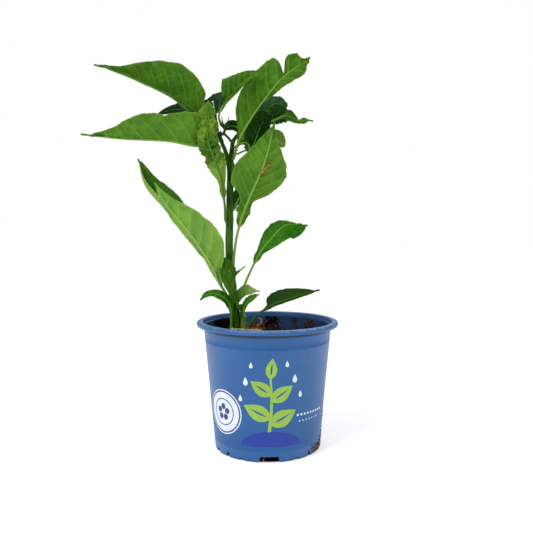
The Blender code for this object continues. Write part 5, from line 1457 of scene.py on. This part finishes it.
def leaf_skin_group():
    """Colour, roughness and height of a leaf from what is marked on its skin."""
    tree = bpy.data.node_groups.new("leaf_skin", "ShaderNodeTree")
    face = tree.interface
    for title in ("Upper", "Lower", "Vein", "Smooth"):
        face.new_socket(name=title, in_out="INPUT", socket_type="NodeSocketColor")
    for title in ("Vein Show", "Mottle", "Gloss"):
        face.new_socket(name=title, in_out="INPUT", socket_type="NodeSocketFloat")
    face.new_socket(name="Color", in_out="OUTPUT", socket_type="NodeSocketColor")
    face.new_socket(name="Roughness", in_out="OUTPUT", socket_type="NodeSocketFloat")
    face.new_socket(name="Height", in_out="OUTPUT", socket_type="NodeSocketFloat")
    given = tree.nodes.new("NodeGroupInput").outputs

    def marked(name, output="Fac"):
        return wire(tree, "ShaderNodeAttribute", attribute_name=name).outputs[output]

    spot = marked("spot", "Vector")
    beneath = step(tree, marked("under"), 0.35, 0.65)
    base = mixed(tree, beneath, given["Upper"], given["Lower"])
    tone = plus(tree, times(tree, grain(tree, spot, 0.05, detail=2.0), 0.6),
                times(tree, grain(tree, spot, 0.3, detail=4.0), 0.4))
    shade = times(tree, step(tree, tone, 0.35, 0.65, -1.0, 1.0), given["Mottle"])
    hue = sums(tree, "MULTIPLY_ADD", shade, -0.06, 0.5)
    base = wire(tree, "ShaderNodeHueSaturation", {"Value": plus(tree, shade, 1.0), "Color": base,
                                                  "Hue": hue}).outputs[0]
    near = sums(tree, "PINGPONG", marked("vein"), 0.5)
    side = times(tree, step(tree, near, 0.055, 0.012), step(tree, marked("margin"), 0.97, 0.6))
    net = wire(tree, "ShaderNodeTexVoronoi", {"Vector": spot, "Scale": 0.33}, feature="DISTANCE_TO_EDGE")
    net = times(tree, step(tree, net.outputs["Distance"], 0.09, 0.02), 0.3)
    blade_veins = sums(tree, "MAXIMUM", side, net)
    rib = step(tree, marked("ribbed"), 0.3, 0.75)
    veins = sums(tree, "MAXIMUM", times(tree, blade_veins, given["Vein Show"]), rib)
    veins = sums(tree, "MAXIMUM", veins, marked("stalk"))
    smooth = sums(tree, "SUBTRACT", 1.0, marked("crumpled"))
    base = mixed(tree, smooth, base, given["Smooth"])
    base = mixed(tree, veins, base, given["Vein"])
    rim = times(tree, step(tree, marked("margin"), 0.955, 0.99), 0.5)
    base = mixed(tree, rim, base, given["Vein"])
    uneven = sums(tree, "MULTIPLY_ADD", grain(tree, spot, 0.5, detail=5.0, roughness=0.7), 1.5, -0.75)
    hurt = plus(tree, marked("scar"), uneven)
    base = mixed(tree, step(tree, hurt, 0.35, 0.5, 0.0, 0.75), base, colour(*SCAR_EDGE))
    base = mixed(tree, step(tree, hurt, 0.58, 0.72), base, colour(*SCAR_MIDDLE))
    fine = grain(tree, spot, 2.4, detail=3.0)
    rough = plus(tree, given["Gloss"], times(tree, beneath, 0.14),
                 sums(tree, "MULTIPLY_ADD", tone, 0.2, -0.1))
    height = plus(tree, times(tree, net, -1.2), times(tree, fine, 0.35))
    height = sums(tree, "SUBTRACT", height, times(tree, side, 0.5))
    wire(tree, "NodeGroupOutput", {"Color": base, "Roughness": rough, "Height": height})
    return tree


def leaf_material(name, upper, lower, vein, show, mottle, gloss):
    material, tree, shader, _ = start_material(name, Specular_IOR_Level=0.09)
    skin = tree.nodes.new("ShaderNodeGroup")
    skin.node_tree = leaf_skin
    for title, tint in (("Upper", upper), ("Lower", lower), ("Vein", vein), ("Smooth", SMOOTH_LEAF)):
        skin.inputs[title].default_value = colour(*tint)
    for title, value in (("Vein Show", show), ("Mottle", mottle), ("Gloss", gloss)):
        skin.inputs[title].default_value = value
    dress(tree, shader, skin.outputs["Color"], skin.outputs["Roughness"], skin.outputs["Height"], 0.16)
    return material


leaf_skin = leaf_skin_group()
leaf_relief = relief_tree()
# Upper side, lower side and veins; how far the side veins show, the mottling and the roughness.
leaf_finishes = {name: leaf_material(name, *tints) for name, tints in {
    "leaf_fresh": ((60, 108, 14), (70, 118, 20), (118, 162, 58), 0.38, 0.2, 0.42),
    "leaf_silver": ((42, 88, 14), (82, 128, 34), (124, 166, 70), 0.36, 0.18, 0.46),
    "leaf_pale": ((62, 116, 20), (110, 156, 58), (150, 188, 98), 0.42, 0.12, 0.48),
    "leaf_young": ((150, 196, 98), (154, 198, 102), (166, 206, 116), 0.3, 0.16, 0.48),
    "leaf_glossy": ((40, 106, 8), (62, 116, 26), (104, 156, 48), 0.42, 0.2, 0.34),
    "leaf_dull": ((54, 98, 14), (60, 104, 20), (74, 116, 30), 0.26, 0.3, 0.46),
    "leaf_olive": ((80, 118, 24), (96, 136, 38), (92, 130, 38), 0.3, 0.3, 0.46),
    # the next finish is a dark green darkened further with painted shade, for leaves deep in the crown
    "leaf_deep": ((10, 58, 4), (30, 84, 12), (124, 176, 62), 0.2, 0.24, 0.38),
    # the next finish is a dark green darkened further with painted shade, for the low leaf at the right
    "leaf_night": ((20, 62, 0), (36, 76, 6), (62, 104, 14), 0.2, 0.16, 0.5),
    # the next finish is a dark green with a bluish-grey cast that is a painted sheen
    "leaf_bluish": ((22, 62, 30), (46, 86, 50), (70, 108, 66), 0.4, 0.28, 0.42),
}.items()}
for number, leaf in enumerate(LEAVES):
    look, bulge, blister, wobble = LOOKS.get(leaf.name, PLAIN_LOOK)
    grown = shaped(leaf.name + "_skin", leaf_mesh(leaf, number), leaf_relief, Bulge=bulge, Blister=blister,
                   Wobble=wobble, Material=leaf_finishes[look])
    piece = add_piece(leaf.name + "_skin", grown, leaf_finishes[look], sharp=70)
    belongs(piece, "leaf", leaf.name)


# ---- Flower buds -------------------------------------------------------------------------------
# Two green buds on the twig: a short stalk that swells into a cup, with five narrow sepals that
# stand out round the closed flower.

BUDS = (
    ("flower_bud_upper", "twig", (-36.5, -1.0, 264.2), (-35.8, -4.0, 268.0), 1.3, 10.5),
    ("flower_bud_lower", "twig", (-36.0, -0.7, 263.8), (-38.5, -9.0, 262.5), 1.5, 2.0),
)
BUD_TINTS = ((30, 56, 22), (58, 92, 38), (30, 56, 22), 0.0)
SEPALS = 5
BUD_STALK_RADII = (0.5, 0.6)
BUD_TIP = 0.45             # radius of the bud's tip, as a share of its own
SEPAL_RADII = (0.65, 0.6, 0.25)
SEPAL_SPREAD = (0.2, 0.35)      # how far a sepal has spread at its bend and tip, in lengths
SEPAL_REACH = (0.3, 0.8)        # and how far it has run on past the bud's middle
BUD_CELL = 0.16


def bud_paths(carrier, near, middle, radius, sepal):
    """The paths and radii of a bud's stalk and of its sepals."""
    middle = Vector(middle)
    foot, out = joint_on(carrier, Vector(near), middle)
    axis = (middle - foot).normalized()
    end = middle + axis * radius
    paths = [((foot, foot + out, middle, end), (*BUD_STALK_RADII, radius, radius * BUD_TIP), ())]
    side = axis.orthogonal().normalized()
    over = axis.cross(side)
    for i in range(SEPALS):
        turn = 2 * math.pi * i / SEPALS
        out = side * math.cos(turn) + over * math.sin(turn)
        path = [middle + out * (radius * 0.5)]
        for spread, reach in zip(SEPAL_SPREAD, SEPAL_REACH):
            path.append(middle + out * (radius + sepal * spread) + axis * sepal * reach)
        paths.append((path, SEPAL_RADII, ()))
    return paths


bud_finish = stem_material("bud", *BUD_TINTS)
for name, carrier, near, middle, radius, sepal in BUDS:
    tubes_of_bud = tube_mesh(name, bud_paths(carrier, near, middle, radius, sepal), None, sides=12,
                             ridge=0.2, seed=3.0)
    bud = add_piece(name + "_skin", blended(name + "_skin", tubes_of_bud, BUD_CELL, 3), bud_finish, sharp=180)
    belongs(bud, "bud", name)


# ---- Floor, light and camera -------------------------------------------------------------------
# A wide pale floor that runs out to white, a large soft key light at the front left, a weak fill
# at the right, and a camera a little above the crown's middle, looking slightly down.

FLOOR_HALF = 6.0
FLOOR_FADE = (0.45, 1.1)
FLOOR_GLOW = 0.45
FLOOR_PALE = (0.9, 0.9, 0.9, 1)
FLOOR_PAINTED_SHADE = (0.01, 0.01, 0.012, 1)
FLOOR_SHADED = (0.041, 0.045)    # metres from the pot's axis: no light gets far under the pot
LIGHT_AIM = (0, 0, 0.15)
CAMERA_PLACE = (-0.76, -500.0, 180.0)
CAMERA_DOWN = 3.151
CAMERA_LENS = 39.85
SURROUND = 0.42            # brightness of the white room round the object
LIGHTS = (
    ("key_light", (-0.95, -0.95, 1.5), 0.8, 19.0),
    ("fill_light", (1.3, -0.9, 0.8), 1.1, 4.0),
    ("back_light", (0.2, 1.2, 1.3), 1.2, 7.0),
)


def floor_material():
    """Matt white that turns to plain white light away from the object, with painted shade beneath it."""
    material = bpy.data.materials.new("floor_white")
    material.use_nodes = True
    tree = material.node_tree
    shader = tree.nodes["Principled BSDF"]
    shader.inputs["Roughness"].default_value = 0.9
    shader.inputs["Specular IOR Level"].default_value = 0.1
    spot = wire(tree, "ShaderNodeTexCoord").outputs["Object"]
    away = vectors(tree, "DISTANCE", {0: spot, 1: tuple(AXIS)}, "Value")
    fade = step(tree, away, *FLOOR_FADE)
    lit = step(tree, away, *FLOOR_SHADED)
    matt = mixed(tree, lit, FLOOR_PAINTED_SHADE, FLOOR_PALE)
    tree.links.new(mixed(tree, fade, matt, (0, 0, 0, 1)), shader.inputs["Base Color"])
    shader.inputs["Emission Color"].default_value = (1, 1, 1, 1)
    glow = times(tree, sums(tree, "MULTIPLY_ADD", fade, 1.0 - FLOOR_GLOW, FLOOR_GLOW), lit)
    tree.links.new(glow, shader.inputs["Emission Strength"])
    return material


bm = bmesh.new()
bmesh.ops.create_grid(bm, x_segments=2, y_segments=2, size=FLOOR_HALF)
floor_mesh = mesh_of("studio_floor", bm)
floor_mesh.materials.append(floor_material())
linked("studio_floor", floor_mesh)

for name, place, size, power in LIGHTS:
    lamp = bpy.data.lights.new(name, "AREA")
    lamp.size = size
    lamp.energy = power
    light = linked(name, lamp)
    light.location = place
    light.rotation_euler = (Vector(place) - Vector(LIGHT_AIM)).to_track_quat("Z", "Y").to_euler()

world = bpy.data.worlds.new("studio_white")
world.use_nodes = True
seen = wire(world.node_tree, "ShaderNodeLightPath").outputs["Is Camera Ray"]
backdrop = world.node_tree.nodes["Background"]
backdrop.inputs["Color"].default_value = (1, 1, 1, 1)
white_light = wire(world.node_tree, "ShaderNodeMapRange", {"Value": seen, "To Min": SURROUND, "To Max": 1.0})
world.node_tree.links.new(white_light.outputs[0], backdrop.inputs["Strength"])
bpy.context.scene.world = world
bpy.context.scene.view_settings.view_transform = "Standard"

camera_data = bpy.data.cameras.new("camera")
camera_data.lens = CAMERA_LENS
camera_data.sensor_width = 36.0
camera_data.clip_start = 0.01
camera = linked("camera", camera_data)
camera.location = real(CAMERA_PLACE)
camera.rotation_euler = (math.radians(90 - CAMERA_DOWN), 0, 0)
bpy.context.scene.camera = camera
